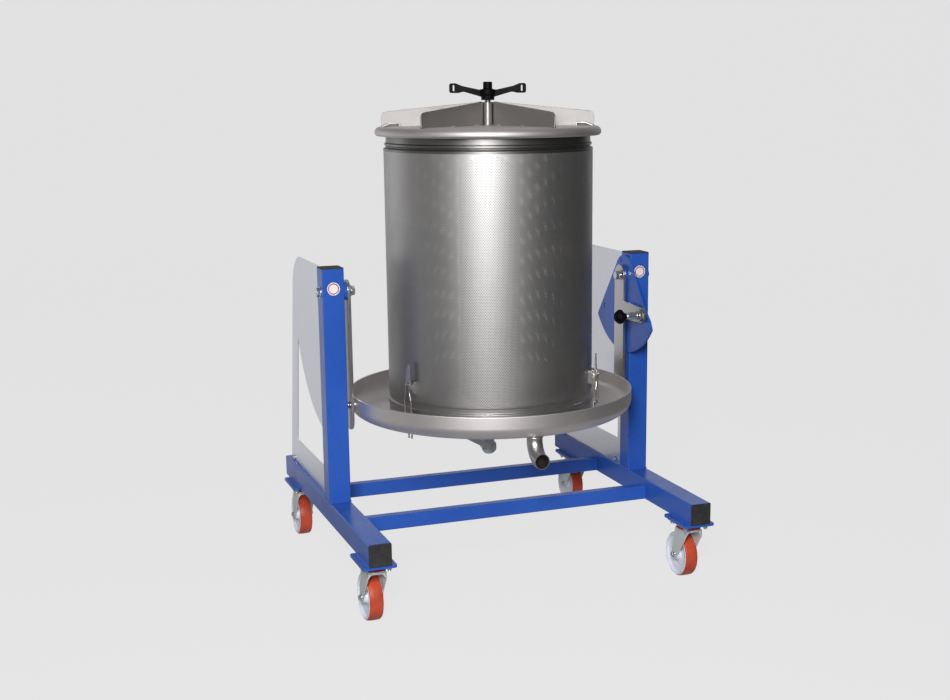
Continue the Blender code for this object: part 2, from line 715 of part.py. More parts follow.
def tie_rod(centre):
    """The middle rod: hollow up to its cross holes, flanged at the foot, threaded at the top."""
    foot = TRAY_FLOOR + GAP
    shoulder = 1.250
    top = HANDLE_TOP - 0.012
    body = turned([(0.0, top), (THREAD_RADIUS - 0.001, top), (THREAD_RADIUS, top - 0.001),
                   (THREAD_RADIUS, shoulder), (ROD_RADIUS, shoulder - 0.002), (ROD_RADIUS, foot + 0.006),
                   (0.040, foot + 0.006), (0.040, foot), (0.0, foot)], steps=20)
    cut(body, rod(0.006, 0.080, (0.0, 0.0, foot + 0.039), sides=12),
        rod(0.004, 0.040, (0.0, 0.0, foot + 0.060), "X", sides=12))
    place(body, "tie_rod", "stainless", centre)


# ---------------------------------------------------------------- lid
def lid_shell(lid):
    edge = LID_RADIUS
    corner = 0.016
    top_edge = LID_TOP - 0.0025
    hole = ROD_RADIUS + 0.0015
    outer = [(hole, LID_TOP)] + arc((edge - corner, top_edge - corner), corner, 90.0, 0.0, 5)
    outer += [(edge - 0.0010, LID_RIM_BOTTOM + 0.004), (edge - 0.005, LID_RIM_BOTTOM)]
    inner = [(edge - 0.0075, LID_RIM_BOTTOM)]
    inner += arc((edge - corner, top_edge - corner), corner - LID_WALL, 0.0, 90.0, 4)
    inner.append((hole, LID_TOP - LID_WALL))
    place(turned(outer + inner, closed=True), "lid", "stainless", lid)


def v_plate(opening, thickness, reach):
    """One bent stiffener in plan: two straight legs from a rounded bend near the rod."""
    half = math.radians(opening / 2)
    bend = 0.016                 # distance of the bend from the rod's axis
    tip = Vector((reach * math.cos(half), reach * math.sin(half)))
    root = Vector((bend, 0.0))
    along = (tip - root).normalized()
    side = Vector((-along.y, along.x)) * thickness / 2
    upper = [root + along * 0.004 + side, tip + side, tip - side, root + along * 0.010 - side]
    lower = [Vector((p.x, -p.y)) for p in reversed(upper)]
    nose = [(bend - thickness * 0.7, -0.003), (bend - thickness * 0.7, 0.003)]
    return [tuple(p) for p in upper + lower] + nose


def lid_ribs(lid):
    """Three V-bent stiffeners round a sleeve, cut to a low cone."""
    low, high = LID_TOP + GAP, RIB_TOP
    sleeve = rod(0.0165, high - low, (0.0, 0.0, (high + low) / 2), sides=20)
    plates = []
    for i in range(3):
        angle = math.radians(VIEW_SIDE + 60.0 + 120.0 * i)
        turn = Matrix.Translation((0.0, 0.0, (high + low) / 2)) @ Matrix.Rotation(angle, 4, "Z")
        plates.append(baked(outline([v_plate(47.0, 0.003, RIB_REACH)], high - low), turn))
    weld(sleeve, *plates)
    cone = turned([(0.0, high), (0.020, high), (RIB_REACH - 0.010, RIB_END_TOP),
                   (RIB_REACH - 0.002, RIB_END_TOP - 0.008), (RIB_REACH, low), (0.0, low)])
    combine(sleeve, [cone], "INTERSECT")
    cut(sleeve, rod(ROD_RADIUS + 0.0015, 0.3, (0.0, 0.0, high)))
    place(sleeve, "lid_ribs", "stainless", lid)


def lid_gasket(lid):
    inner, outer = BASKET_NECK - 0.007, BASKET_NECK + 0.005
    low, high = BASKET_TOP + GAP, LID_TOP - LID_WALL - 0.0028
    profile = [(outer, high), (outer, low), (inner, low), (inner, high)]
    place(turned(profile, closed=True), "lid_gasket", "gasket", lid)


def handle(lid):
    """The two-armed nut that screws the lid down on the rod."""
    axis = empty("handle_axis", (0.0, 0.0, 0.0), lid)
    hub = turned([(0.0, HANDLE_TOP), (0.010, HANDLE_TOP), (0.0125, HANDLE_TOP - 0.0025),
                  (0.0125, HANDLE_TOP - 0.019), (0.0215, HANDLE_TOP - 0.021), (0.0215, HANDLE_TOP - 0.033),
                  (0.0180, HANDLE_TOP - 0.037), (0.0180, HANDLE_BASE), (0.0, HANDLE_BASE)], steps=20)
    side_view = [(0.012, 1.322), (0.022, 1.326), (0.068, 1.338), (0.080, 1.335), (0.1005, 1.335),
                 (0.1045, 1.339), (0.1045, 1.357), (0.1005, 1.361), (0.088, 1.361), (0.072, 1.354),
                 (0.022, 1.3440), (0.012, 1.3440)]
    for sign in (-1.0, 1.0):
        loop = [(sign * x, z) for x, z in side_view]
        weld(hub, baked(outline([loop], 0.014), Matrix.Rotation(math.pi / 2, 4, "X")))
    bore_top = HANDLE_TOP - 0.009
    cut(hub, rod(THREAD_RADIUS + 0.0004, 0.06, (0.0, 0.0, bore_top - 0.03)))
    place(hub, "handle", "black_plastic", axis, rotation=(0.0, 0.0, math.radians(VIEW_SIDE - 90.0)))


# ---------------------------------------------------------------- latches
BAIL_UP = 0.010                  # the wire's pivot is this far above the lever's
BAIL_OUT = 0.0045
WIRE = 0.0018


def latch(name, angle, centre):
    """An over-centre lever on the basket, with a wire that reaches down to the tray's hook."""
    turn = math.radians(angle)
    radius = BASKET_RADIUS + LATCH_STAND_OFF
    pivot = (radius * math.cos(turn), radius * math.sin(turn), LATCH_PIVOT_Z)
    lever_axis = empty(f"{name}_latch_axis", pivot, centre, (0.0, 0.0, turn))
    shape = [(-0.0095, -0.006), (0.0095, -0.006), (0.0095, 0.018), (0.006, 0.066), (-0.006, 0.066),
             (-0.0095, 0.018)]
    lever = upright_plate([shape], 0.0025, 0.0045)
    knuckle = rod(0.0035, 0.0215, axis="Y", sides=12)
    web = box((0.0055, 0.019, 0.005), (0.0020, 0.0, 0.0))
    wire_seat = box((0.0065, 0.0130, 0.007), (0.0073, 0.0, BAIL_UP))
    weld(lever, knuckle, web, wire_seat)
    place(lever, f"{name}_latch_lever", "stainless", lever_axis)

    bail_axis = empty(f"{name}_bail_axis", (BAIL_OUT + 0.0035, 0.0, BAIL_UP), lever_axis)
    half = 0.0130
    drop = TRAY_FLOOR + 0.0315 - LATCH_PIVOT_Z - BAIL_UP
    bail = wire([(0.0, -half + 0.006, 0.0), (0.0, -half, 0.0), (0.0, -half, -0.030), (0.0, -half, drop),
                 (0.0, half, drop), (0.0, half, -0.030), (0.0, half, 0.0), (0.0, half - 0.006, 0.0)], WIRE)
    place(bail, f"{name}_latch_bail", "stainless", bail_axis)


def press():
    """Everything that tips with the basket."""
    tilt = empty("tilt_axis", (0.0, PIVOT_Y, PIVOT_Z))
    centre = empty("basket_axis", (0.0, BASKET_Y - PIVOT_Y, -PIVOT_Z), tilt)
    for side, sign in SIDES.items():
        arm(side, sign, tilt)
    index_plunger(tilt)
    drip_tray(centre)
    spout(centre)
    water_inlet(centre)
    valve_lever(centre)
    basket(centre)
    membrane(centre)
    tie_rod(centre)
    lid = empty("lid_axis", (0.0, 0.0, 0.0), centre)
    lid_shell(lid)
    lid_ribs(lid)
    lid_gasket(lid)
    handle(lid)
    for name, angle in zip(("left", "right", "rear"), LATCH_ANGLES):
        latch(name, angle, centre)


frame()
casters()
press()
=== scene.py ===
"""Looks of the tilting basket wine press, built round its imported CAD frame. Metres, +Z up."""

import json
import math

import bmesh
import bpy
import numpy as np
from mathutils import Matrix, Vector

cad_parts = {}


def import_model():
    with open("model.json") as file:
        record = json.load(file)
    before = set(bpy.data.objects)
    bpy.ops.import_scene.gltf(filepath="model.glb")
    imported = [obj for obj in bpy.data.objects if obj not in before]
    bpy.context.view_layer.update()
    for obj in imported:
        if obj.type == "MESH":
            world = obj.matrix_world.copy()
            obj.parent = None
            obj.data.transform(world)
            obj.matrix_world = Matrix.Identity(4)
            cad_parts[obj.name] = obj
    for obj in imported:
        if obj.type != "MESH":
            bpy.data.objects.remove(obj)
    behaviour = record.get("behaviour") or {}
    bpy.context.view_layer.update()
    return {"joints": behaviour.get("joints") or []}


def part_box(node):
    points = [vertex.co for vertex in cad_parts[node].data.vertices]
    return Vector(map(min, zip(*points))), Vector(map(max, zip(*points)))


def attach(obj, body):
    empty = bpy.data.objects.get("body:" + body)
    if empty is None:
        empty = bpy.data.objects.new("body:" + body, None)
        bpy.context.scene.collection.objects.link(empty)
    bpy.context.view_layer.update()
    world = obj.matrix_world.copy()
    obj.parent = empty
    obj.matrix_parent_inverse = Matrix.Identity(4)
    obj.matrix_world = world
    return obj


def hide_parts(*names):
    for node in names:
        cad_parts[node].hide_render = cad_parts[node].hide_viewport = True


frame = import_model()


# ================================================================ places, read from the frame
def middle(node):
    low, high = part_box(node)
    return (low + high) / 2


SIDES = {"left": -1.0, "right": 1.0}
CORNERS = [(end, side) for end in ("front", "rear") for side in ("left", "right")]
JOINTS = {joint["name"]: joint for joint in frame["joints"]}
PIVOT = Vector(JOINTS["tilt"]["pos_m"])
AXIS = Vector(JOINTS["handle_turn"]["pos_m"])    # a point on the basket's own axis
TAU = 2 * math.pi
TRAY_LOW, TRAY_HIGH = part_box("drip_tray")
TRAY_RADIUS = (TRAY_HIGH.x - TRAY_LOW.x) / 2
LID_LOW, LID_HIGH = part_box("lid")
BASKET_LOW, BASKET_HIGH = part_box("basket")


# ================================================================ mesh helpers
def linked(name, data):
    obj = bpy.data.objects.new(name, data)
    bpy.context.scene.collection.objects.link(obj)
    return obj


def mesh_object(verts, faces, name="shape"):
    mesh = bpy.data.meshes.new(name)
    mesh.from_pydata([tuple(v) for v in verts], [], faces)
    return linked(name, mesh)


def tidy_mesh(obj, distance=0.000002):
    """Joins doubled points and turns every face outwards."""
    bm = bmesh.new()
    bm.from_mesh(obj.data)
    bmesh.ops.remove_doubles(bm, verts=bm.verts, dist=distance)
    bmesh.ops.dissolve_degenerate(bm, edges=bm.edges, dist=distance / 2)
    bmesh.ops.recalc_face_normals(bm, faces=bm.faces)
    bm.to_mesh(obj.data)
    bm.free()
    return obj


def solid(obj):
    """A plain mesh of an object's evaluated shape."""
    bpy.context.view_layer.update()
    evaluated = obj.evaluated_get(bpy.context.evaluated_depsgraph_get())
    mesh = bpy.data.meshes.new_from_object(evaluated)
    mesh.transform(obj.matrix_world)
    bpy.data.objects.remove(obj, do_unlink=True)
    return tidy_mesh(linked("solid", mesh))


def moved(obj, matrix):
    obj.data.transform(matrix)
    return obj


def at(x=0.0, y=0.0, z=0.0):
    return Matrix.Translation((x, y, z))


def turn(degrees, axis):
    return Matrix.Rotation(math.radians(degrees), 4, axis)


TO_X = turn(90, "Y")                             # a shape's own Z runs along world X
TO_Y = turn(-90, "X")                            # a shape's own Z runs along world Y
ON_EDGE = turn(90, "X")                          # a flat outline stands in the XZ plane
UPRIGHT = turn(90, "Z") @ ON_EDGE                # a flat outline stands in the YZ plane
ON_AXIS = at(AXIS.x, AXIS.y)


def boolean(obj, tool, operation="DIFFERENCE"):
    modifier = obj.modifiers.new("cut", "BOOLEAN")
    modifier.operation = operation
    modifier.object = tool
    modifier.solver = "EXACT"
    made = solid(obj)
    bpy.data.objects.remove(tool, do_unlink=True)
    return made


def arc(centre, radius, start, end, count):
    angles = [math.radians(start + (end - start) * i / (count - 1)) for i in range(count)]
    return [(centre[0] + radius * math.cos(a), centre[1] + radius * math.sin(a)) for a in angles]


def circle(radius, centre=(0.0, 0.0), count=48, start=0.0):
    return arc(centre, radius, start, start + 360.0 * (count - 1) / count, count)


def rounded(corners, closed=True, count=6):
    """A path through (x, y) or (x, y, radius) corners, with the given corners rounded off."""
    points = []
    last = len(corners) - 1
    for i, corner in enumerate(corners):
        here = Vector(corner[:2])
        radius = corner[2] if len(corner) > 2 else 0.0
        if radius == 0.0 or (not closed and i in (0, last)):
            points.append(tuple(here))
            continue
        before = (Vector(corners[i - 1][:2]) - here).normalized()
        after = (Vector(corners[(i + 1) % len(corners)][:2]) - here).normalized()
        half = before.angle(after) / 2
        centre = here + (before + after).normalized() * radius / math.sin(half)
        start = here + before * radius / math.tan(half) - centre
        end = here + after * radius / math.tan(half) - centre
        swing = -start.angle_signed(end)
        for step in range(count):
            points.append(tuple(centre + Matrix.Rotation(swing * step / (count - 1), 2) @ start))
    return points


def bands(rows, size, looped, closed=True):
    """Four-sided faces between equal rows of points; looped joins the last row to the first."""
    faces = []
    for i in range(rows if looped else rows - 1):
        here, there = i * size, (i + 1) % rows * size
        for k in range(size if closed else size - 1):
            n = (k + 1) % size
            faces.append((here + k, here + n, there + n, there + k))
    return faces


def end_faces(rows, size):
    return [tuple(range(size))[::-1], tuple(range((rows - 1) * size, rows * size))]


def lathe(profile, steps=96, closed=False):
    """Turns (radius, height) points round Z; an outer side runs from top to bottom."""
    verts = []
    for i in range(steps):
        c, s = math.cos(TAU * i / steps), math.sin(TAU * i / steps)
        verts += [(r * c, r * s, z) for r, z in profile]
    return tidy_mesh(mesh_object(verts, bands(steps, len(profile), True, closed)))


def turned(corners, steps=64, count=5):
    """A closed ring section turned round Z."""
    return lathe(rounded(corners, True, count), steps, closed=True)


def spun(corners, steps=64, count=5):
    """A section that starts and ends on the axis, turned round Z."""
    return lathe(rounded(corners, False, count), steps)


def mirrored(half):
    """Half an outline and its mirror image in X."""
    return half + [(-x, y, *rest) for x, y, *rest in half[::-1]]


def flipped(half):
    """Half an outline and its mirror image in Y."""
    return half + [(x, -y, *rest) for x, y, *rest in half[::-1]]


def disc(radius, height, edge=0.0008, steps=48):
    """A solid round from z = 0 up, with rounded rims."""
    return spun([(0.0, height), (radius, height, edge), (radius, 0.0, edge), (0.0, 0.0)], steps, 3)


def ring(outer, inner, height, edge=0.0005, steps=64):
    """A flat ring from z = 0 up, with rounded rims."""
    return turned([(outer, height, edge), (outer, 0.0, edge), (inner, 0.0, edge), (inner, height, edge)],
                  steps, 3)


def hexagon(across, height, edge=0.0012, hole=0.0):
    """A bolt head or nut from z = 0 up: a hexagon whose ends are chamfered round."""
    corner = across / 2 / math.cos(math.pi / 6)
    loops = [circle(corner, count=6)]
    if hole:
        loops.append(circle(hole, count=32))
    prism = moved(plate(loops, height, 0.0002), at(z=height / 2))
    clear = 0.0001
    chamfer = lathe([(0.0, height + clear), (across / 2 - edge * 0.2, height + clear),
                     (corner + clear, height - edge), (corner + clear, -clear), (0.0, -clear)], 48)
    return boolean(prism, chamfer, "INTERSECT")


def plate(loops, thickness, bevel=0.0004):
    """A flat sheet piece in XY from an outline and its holes, edges slightly rounded, about z = 0."""
    curve = bpy.data.curves.new("plate", "CURVE")
    curve.dimensions = "2D"
    curve.fill_mode = "BOTH"
    curve.extrude = thickness / 2 - bevel
    curve.bevel_depth = bevel
    curve.bevel_resolution = 1
    curve.offset = -bevel
    for loop in loops:
        spline = curve.splines.new("POLY")
        spline.points.add(len(loop) - 1)
        for point, (x, y) in zip(spline.points, loop):
            point.co = (x, y, 0.0, 1.0)
        spline.use_cyclic_u = True
    return solid(linked("plate", curve))


def strip(line, width, bevel=0.0005):
    """A flat strip whose outline stands in the XZ plane and whose width runs along Y."""
    return moved(plate([line], width, bevel), ON_EDGE)


def block(size, centre=(0.0, 0.0, 0.0), bevel=0.001):
    """A box with rounded edges."""
    bm = bmesh.new()
    bmesh.ops.create_cube(bm, size=1.0, matrix=Matrix.Diagonal((*size, 1.0)))
    bmesh.ops.bevel(bm, geom=bm.edges, offset=bevel, segments=3, profile=0.5, affect="EDGES")
    mesh = bpy.data.meshes.new("block")
    bm.to_mesh(mesh)
    bm.free()
    return moved(linked("block", mesh), at(*centre))


def sweep(points, radius, sides=14, capped=True, looped=False):
    """A round bar along the points; radius is one number or one for each point."""
    path = [Vector(p) for p in points]
    count = len(path)
    radii = radius if isinstance(radius, (list, tuple)) else [radius] * count
    tangents = []
    for i in range(count):
        before = path[i - 1] if (i > 0 or looped) else path[i]
        after = path[(i + 1) % count] if (i < count - 1 or looped) else path[i]
        tangents.append((after - before).normalized())
    side = tangents[0].orthogonal().normalized()
    verts = []
    for i in range(count):
        if i:
            side = (tangents[i - 1].rotation_difference(tangents[i])) @ side
        up = tangents[i].cross(side).normalized()
        for k in range(sides):
            a = TAU * k / sides
            verts.append(path[i] + (side * math.cos(a) + up * math.sin(a)) * radii[i])
    faces = bands(count, sides, looped)
    if capped and not looped:
        faces += end_faces(count, sides)
    return mesh_object(verts, faces)


def along(start, end, step):
    """Evenly spaced points from start to end."""
    start, end = Vector(start), Vector(end)
    count = max(2, int((end - start).length / step))
    return [start.lerp(end, i / count) for i in range(count + 1)]


def bead(points, radius, pitch=4, looped=False):
    """A weld bead: a bar whose girth ripples every few points along its path."""
    radii = [radius * (0.86 + 0.14 * abs(math.sin(math.pi * i / pitch))) for i in range(len(points))]
    return sweep(points, radii, sides=10, looped=looped)


def weld_line(start, end, radius, step=0.0012):
    return bead(along(start, end, step), radius)


def loft(sections, looped=False):
    """A skin over equal loops of points, with filled ends unless the loops meet in a ring."""
    size, count = len(sections[0]), len(sections)
    verts = [point for section in sections for point in section]
    faces = bands(count, size, looped)
    if not looped:
        faces += end_faces(count, size)
    return tidy_mesh(mesh_object(verts, faces))


def rectangle(width, height, corner, count=6):
    w, h = width / 2, height / 2
    return rounded([(w, h, corner), (-w, h, corner), (-w, -h, corner), (w, -h, corner)], True, count)


def rounded_square(width, height, corner, z=0.0):
    return [(x, y, z) for x, y in rectangle(width, height, corner, 5)]


def square_tube(width, height, wall, length, corner=0.0035):
    """A rectangular tube about the origin, its length along Z, with slightly eased ends."""
    end, edge = length / 2, 0.0005
    steps = [(0.0, edge - end), (0.0, end - edge), (edge, end), (wall - edge, end), (wall, end - edge),
             (wall, edge - end), (wall - edge, -end), (edge, -end)]
    return loft([rounded_square(width - 2 * inset, height - 2 * inset, corner - inset * 0.8, z)
                 for inset, z in steps], looped=True)


def pipe(points, outer, inner, sides=32):
    """A bent pipe with open ends."""
    skins = [sweep(points, radius, sides, capped=False) for radius in (outer, inner)]
    verts = [v.co.copy() for skin in skins for v in skin.data.vertices]
    faces = [tuple(face.vertices) for face in skins[0].data.polygons]
    shift = len(skins[0].data.vertices)
    faces += [tuple(v + shift for v in face.vertices)[::-1] for face in skins[1].data.polygons]
    last = (len(points) - 1) * sides
    for k in range(sides):
        n = (k + 1) % sides
        faces.append((k, shift + k, shift + n, n))
        faces.append((last + k, last + n, shift + last + n, shift + last + k))
    discard(*skins)
    return tidy_mesh(mesh_object(verts, faces), 0.000004)


def thread(radius, depth, pitch, low, high, sides=24):
    """A screw thread round Z: a skin whose radius dips along a helix, closed at both ends."""
    rows = int((high - low) / pitch * 6) + 1
    sections = []
    for k in range(rows):
        z = low + (high - low) * k / (rows - 1)
        dips = [depth * abs(2 * ((z / pitch - i / sides) % 1.0) - 1) for i in range(sides)]
        sections.append([((radius - dip) * math.cos(TAU * i / sides),
                          (radius - dip) * math.sin(TAU * i / sides), z)
                         for i, dip in enumerate(dips)])
    return loft(sections)


def copied(obj, matrix):
    return moved(linked(obj.name, obj.data.copy()), matrix)


def discard(*objects):
    for obj in objects:
        bpy.data.objects.remove(obj, do_unlink=True)


CREASE = math.radians(32.0)              # edges sharper than this stay sharp


def piece(name, shapes, material, body, node=None, place=None):
    """Joins shapes into one named piece that rides on a CAD body, and takes a CAD node's place."""
    bm = bmesh.new()
    for shape in shapes if isinstance(shapes, list) else [shapes]:
        if place:
            moved(shape, place)
        bm.from_mesh(shape.data)
        discard(shape)
    mesh = bpy.data.meshes.new(name)
    bm.to_mesh(mesh)
    bm.free()
    obj = linked(name, mesh)
    mesh.materials.append(MATERIALS[material])
    mesh.shade_smooth()
    mesh.set_sharp_from_angle(angle=CREASE)
    obj.modifiers.new("flat faces stay flat", "WEIGHTED_NORMAL").keep_sharp = True
    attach(obj, body)
    if node:
        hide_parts(node)


# ================================================================ materials
class Look:
    """A material's node tree, written as short expressions on sockets."""

    def __init__(self, name):
        self.material = bpy.data.materials.new(name)
        self.material.use_nodes = True
        self.nodes = self.material.node_tree.nodes
        self.links = self.material.node_tree.links
        self.shader = self.nodes["Principled BSDF"]

    def put(self, socket, value):
        if isinstance(value, bpy.types.NodeSocket):
            self.links.new(value, socket)
        elif socket.type == "RGBA" and len(value) == 3:
            socket.default_value = (*value, 1.0)
        else:
            socket.default_value = value

    def add(self, kind, inputs, **settings):
        node = self.nodes.new("ShaderNode" + kind)
        for key, value in settings.items():
            setattr(node, key, value)
        for key, value in inputs.items():
            self.put(node.inputs[key], value)
        return node

    def place(self, scale=(1.0, 1.0, 1.0)):
        """Object coordinates, stretched; they stay with the body they ride on."""
        coordinates = self.add("TexCoord", {}).outputs["Object"]
        return self.add("Mapping", {"Vector": coordinates, "Scale": scale}).outputs[0]

    def around(self, along, across):
        """Coordinates that run round the basket's axis; `across` counts height and radius together."""
        split = self.add("SeparateXYZ", {"Vector": self.place()})
        x = self.maths("SUBTRACT", split.outputs["X"], AXIS.x)
        y = self.maths("SUBTRACT", split.outputs["Y"], AXIS.y)
        radius = self.maths("MAXIMUM", self.distance(x, y), 0.001)
        reach = self.plus(radius, split.outputs["Z"])
        return self.add("CombineXYZ", {
            "X": self.times(self.maths("DIVIDE", x, radius), along),
            "Y": self.times(self.maths("DIVIDE", y, radius), along),
            "Z": self.times(reach, across)}).outputs[0]

    def maths(self, operation, a, b=0.0):
        return self.add("Math", {0: a, 1: b}, operation=operation).outputs[0]

    def times(self, a, b):
        return self.maths("MULTIPLY", a, b)

    def plus(self, a, b):
        return self.maths("ADD", a, b)

    def distance(self, x, y):
        return self.maths("SQRT", self.plus(self.times(x, x), self.times(y, y)))

    def noise(self, vector, scale, detail=3.0, roughness=0.5):
        return self.add("TexNoise", {"Vector": vector, "Scale": scale, "Detail": detail,
                                     "Roughness": roughness}).outputs["Fac"]

    def cells(self, vector, scale, output="Distance"):
        return self.add("TexVoronoi", {"Vector": vector, "Scale": scale}).outputs[output]

    def fit(self, value, low, high, new_low=0.0, new_high=1.0):
        """Rescales a value's range and clamps it."""
        return self.add("MapRange", {"Value": value, "From Min": low, "From Max": high,
                                     "To Min": new_low, "To Max": new_high}).outputs[0]

    def patches(self, vector, scale, detail, span, roughness=0.5, to=(0.0, 1.0)):
        """Noise whose values in a span are stretched over another."""
        return self.fit(self.noise(vector, scale, detail, roughness), *span, *to)

    def tint(self, tone, factor, amount, colour):
        return self.mix(self.times(factor, amount), tone, colour)

    def mix(self, factor, first, second):
        node = self.add("Mix", {}, data_type="RGBA")
        for socket, value in zip((node.inputs[0], node.inputs[6], node.inputs[7]), (factor, first, second)):
            self.put(socket, value)
        return node.outputs[2]

    def bump(self, height, distance, strength=1.0, normal=None):
        inputs = {"Height": height, "Distance": distance, "Strength": strength}
        if normal:
            inputs["Normal"] = normal
        return self.add("Bump", inputs).outputs[0]

    def upward(self):
        """1 on faces that look up, 0 on faces that look down."""
        normal = self.add("NewGeometry", {}).outputs["Normal"]
        return self.fit(self.add("SeparateXYZ", {"Vector": normal}).outputs["Z"], -1.0, 1.0)

    def finish(self, **inputs):
        for name, value in inputs.items():
            self.put(self.shader.inputs[name.replace("_", " ")], value)
        return self.material


def blue_paint():
    """Glossy powder coat: orange peel, slight shade drift, dust on top, rubbed spots."""
    look = Look("blue_paint")
    here = look.place()
    drift = look.patches(here, 3.0, 4.0, (0.3, 0.7))
    colour = look.mix(drift, (0.018, 0.082, 0.400), (0.026, 0.108, 0.480))
    dust = look.times(look.fit(look.upward(), 0.75, 1.0), look.patches(here, 38.0, 5.0, (0.48, 0.75), 0.7))
    colour = look.tint(colour, dust, 0.14, (0.30, 0.36, 0.50))
    scuff = look.patches(look.place((1.0, 5.0, 1.0)), 60.0, 6.0, (0.66, 0.74), 0.75)
    colour = look.tint(colour, scuff, 0.30, (0.07, 0.18, 0.50))
    peel = look.bump(look.noise(here, 420.0, 2.0), 0.00015, 0.25)
    return look.finish(Base_Color=colour, Roughness=look.patches(here, 16.0, 4.0, (0.3, 0.7),
                                                                 to=(0.26, 0.36)),
                       Normal=look.bump(look.noise(here, 60.0, 2.0), 0.0005, 0.16, peel),
                       Specular_IOR_Level=0.35, Coat_Weight=0.12, Coat_Roughness=0.12)


def brushed(name, colour, streaks_of, rough, grain, smudge):
    """Satin steel: fine streaks along the brushing, faint smudges and a warm or cool drift."""
    look = Look(name)
    streaks = look.noise(streaks_of(look, 1.0), 1.0, 5.0, 0.65)
    broad = look.patches(streaks_of(look, 0.12), 1.0, 3.0, (0.4, 0.62), 0.6)
    stain = look.patches(look.place(), 7.0, 5.0, (0.52, 0.74), 0.6)
    dark = tuple(c * (1.0 - 0.16 * grain) for c in colour)
    light = tuple(min(1.0, c * (1.0 + 0.12 * grain)) for c in colour)
    warm = tuple(c * f for c, f in zip(colour, (0.62, 0.56, 0.48)))
    tone = look.tint(look.mix(look.fit(streaks, 0.34, 0.66), dark, light), broad, 0.35, dark)
    roughness = look.plus(look.fit(streaks, 0.3, 0.7, *rough), look.times(stain, 0.07))
    return look.finish(Base_Color=look.tint(tone, stain, smudge, warm), Metallic=1.0, Roughness=roughness,
                       Normal=look.bump(streaks, 0.00012 * grain, 0.55))


def turned_streaks(look, size):
    return look.around(30.0 * size, 2600.0 * size)


def long_streaks(x, y, z):
    return lambda look, size: look.place((x * size, y * size, z * size))


def zinc(name, colour, metal):
    """Bright zinc plate: faint crystals, a blue-yellow cast, dull handling marks."""
    look = Look(name)
    here = look.place()
    grey = look.add("SeparateColor", {"Color": look.cells(here, 1100.0, "Color")}).outputs[0]
    tone = look.mix(look.fit(grey, 0.0, 1.0, 0.0, 0.40), colour, tuple(c * 1.12 for c in colour))
    tone = look.tint(tone, look.patches(here, 55.0, 3.0, (0.42, 0.66)), 0.22, (0.58, 0.58, 0.50))
    dull = look.patches(here, 150.0, 5.0, (0.55, 0.72), 0.7)
    rough = look.plus(look.fit(grey, 0.0, 1.0, 0.30, 0.34), look.times(dull, 0.06))
    return look.finish(Base_Color=look.tint(tone, dull, 0.12, (0.42, 0.43, 0.44)), Metallic=metal,
                       Roughness=rough, Normal=look.bump(look.noise(here, 500.0, 3.0), 0.00005, 0.2))


def moulded(name, dark, light, rough, grain=700.0, depth=0.00012, wear=0.0, gloss=0.5):
    """Moulded plastic or rubber: a fine skin, blotches, and paler rubbed spots."""
    look = Look(name)
    here = look.place()
    blotch = look.patches(here, 30.0, 5.0, (0.32, 0.68), 0.6)
    rub = look.patches(here, 120.0, 6.0, (0.60, 0.72), 0.75)
    tone = look.tint(look.mix(blotch, dark, light), rub, wear,
                     tuple(min(1.0, c * 1.6 + 0.05) for c in light))
    roughness = look.plus(look.fit(blotch, 0.0, 1.0, *rough), look.times(rub, 0.1))
    return look.finish(Base_Color=tone, Roughness=roughness, Specular_IOR_Level=gloss,
                       Normal=look.bump(look.noise(here, grain, 3.0, 0.6), depth, 0.5))


def tread():
    """Cast polyurethane: deep red-orange, scuffed and dusty where it rolls."""
    look = Look("red_tread")
    here = look.place()
    tone = look.mix(look.patches(here, 24.0, 4.0, (0.3, 0.7)), (0.44, 0.042, 0.016), (0.62, 0.080, 0.028))
    dirt = look.patches(here, 90.0, 6.0, (0.46, 0.68), 0.72)
    tone = look.tint(tone, dirt, 0.30, (0.20, 0.07, 0.05))
    specks = look.fit(look.cells(here, 420.0), 0.0, 0.16, 1.0, 0.0)
    return look.finish(Base_Color=look.tint(tone, specks, 0.25, (0.62, 0.36, 0.28)),
                       Roughness=look.fit(dirt, 0.0, 1.0, 0.34, 0.58), Coat_Weight=0.15, Coat_Roughness=0.3,
                       Normal=look.bump(look.noise(here, 300.0, 4.0, 0.6), 0.0002, 0.4))


def printed(name, ink):
    """A printed sticker film: even ink with faint grain and a soft gloss."""
    look = Look(name)
    here = look.place()
    tone = look.mix(look.patches(here, 200.0, 3.0, (0.35, 0.65)), ink, tuple(c * 0.9 for c in ink))
    return look.finish(Base_Color=tone, Roughness=look.patches(here, 90.0, 3.0, (0.3, 0.7), to=(0.30, 0.42)),
                       Normal=look.bump(look.noise(here, 600.0, 2.0), 0.00005, 0.3))


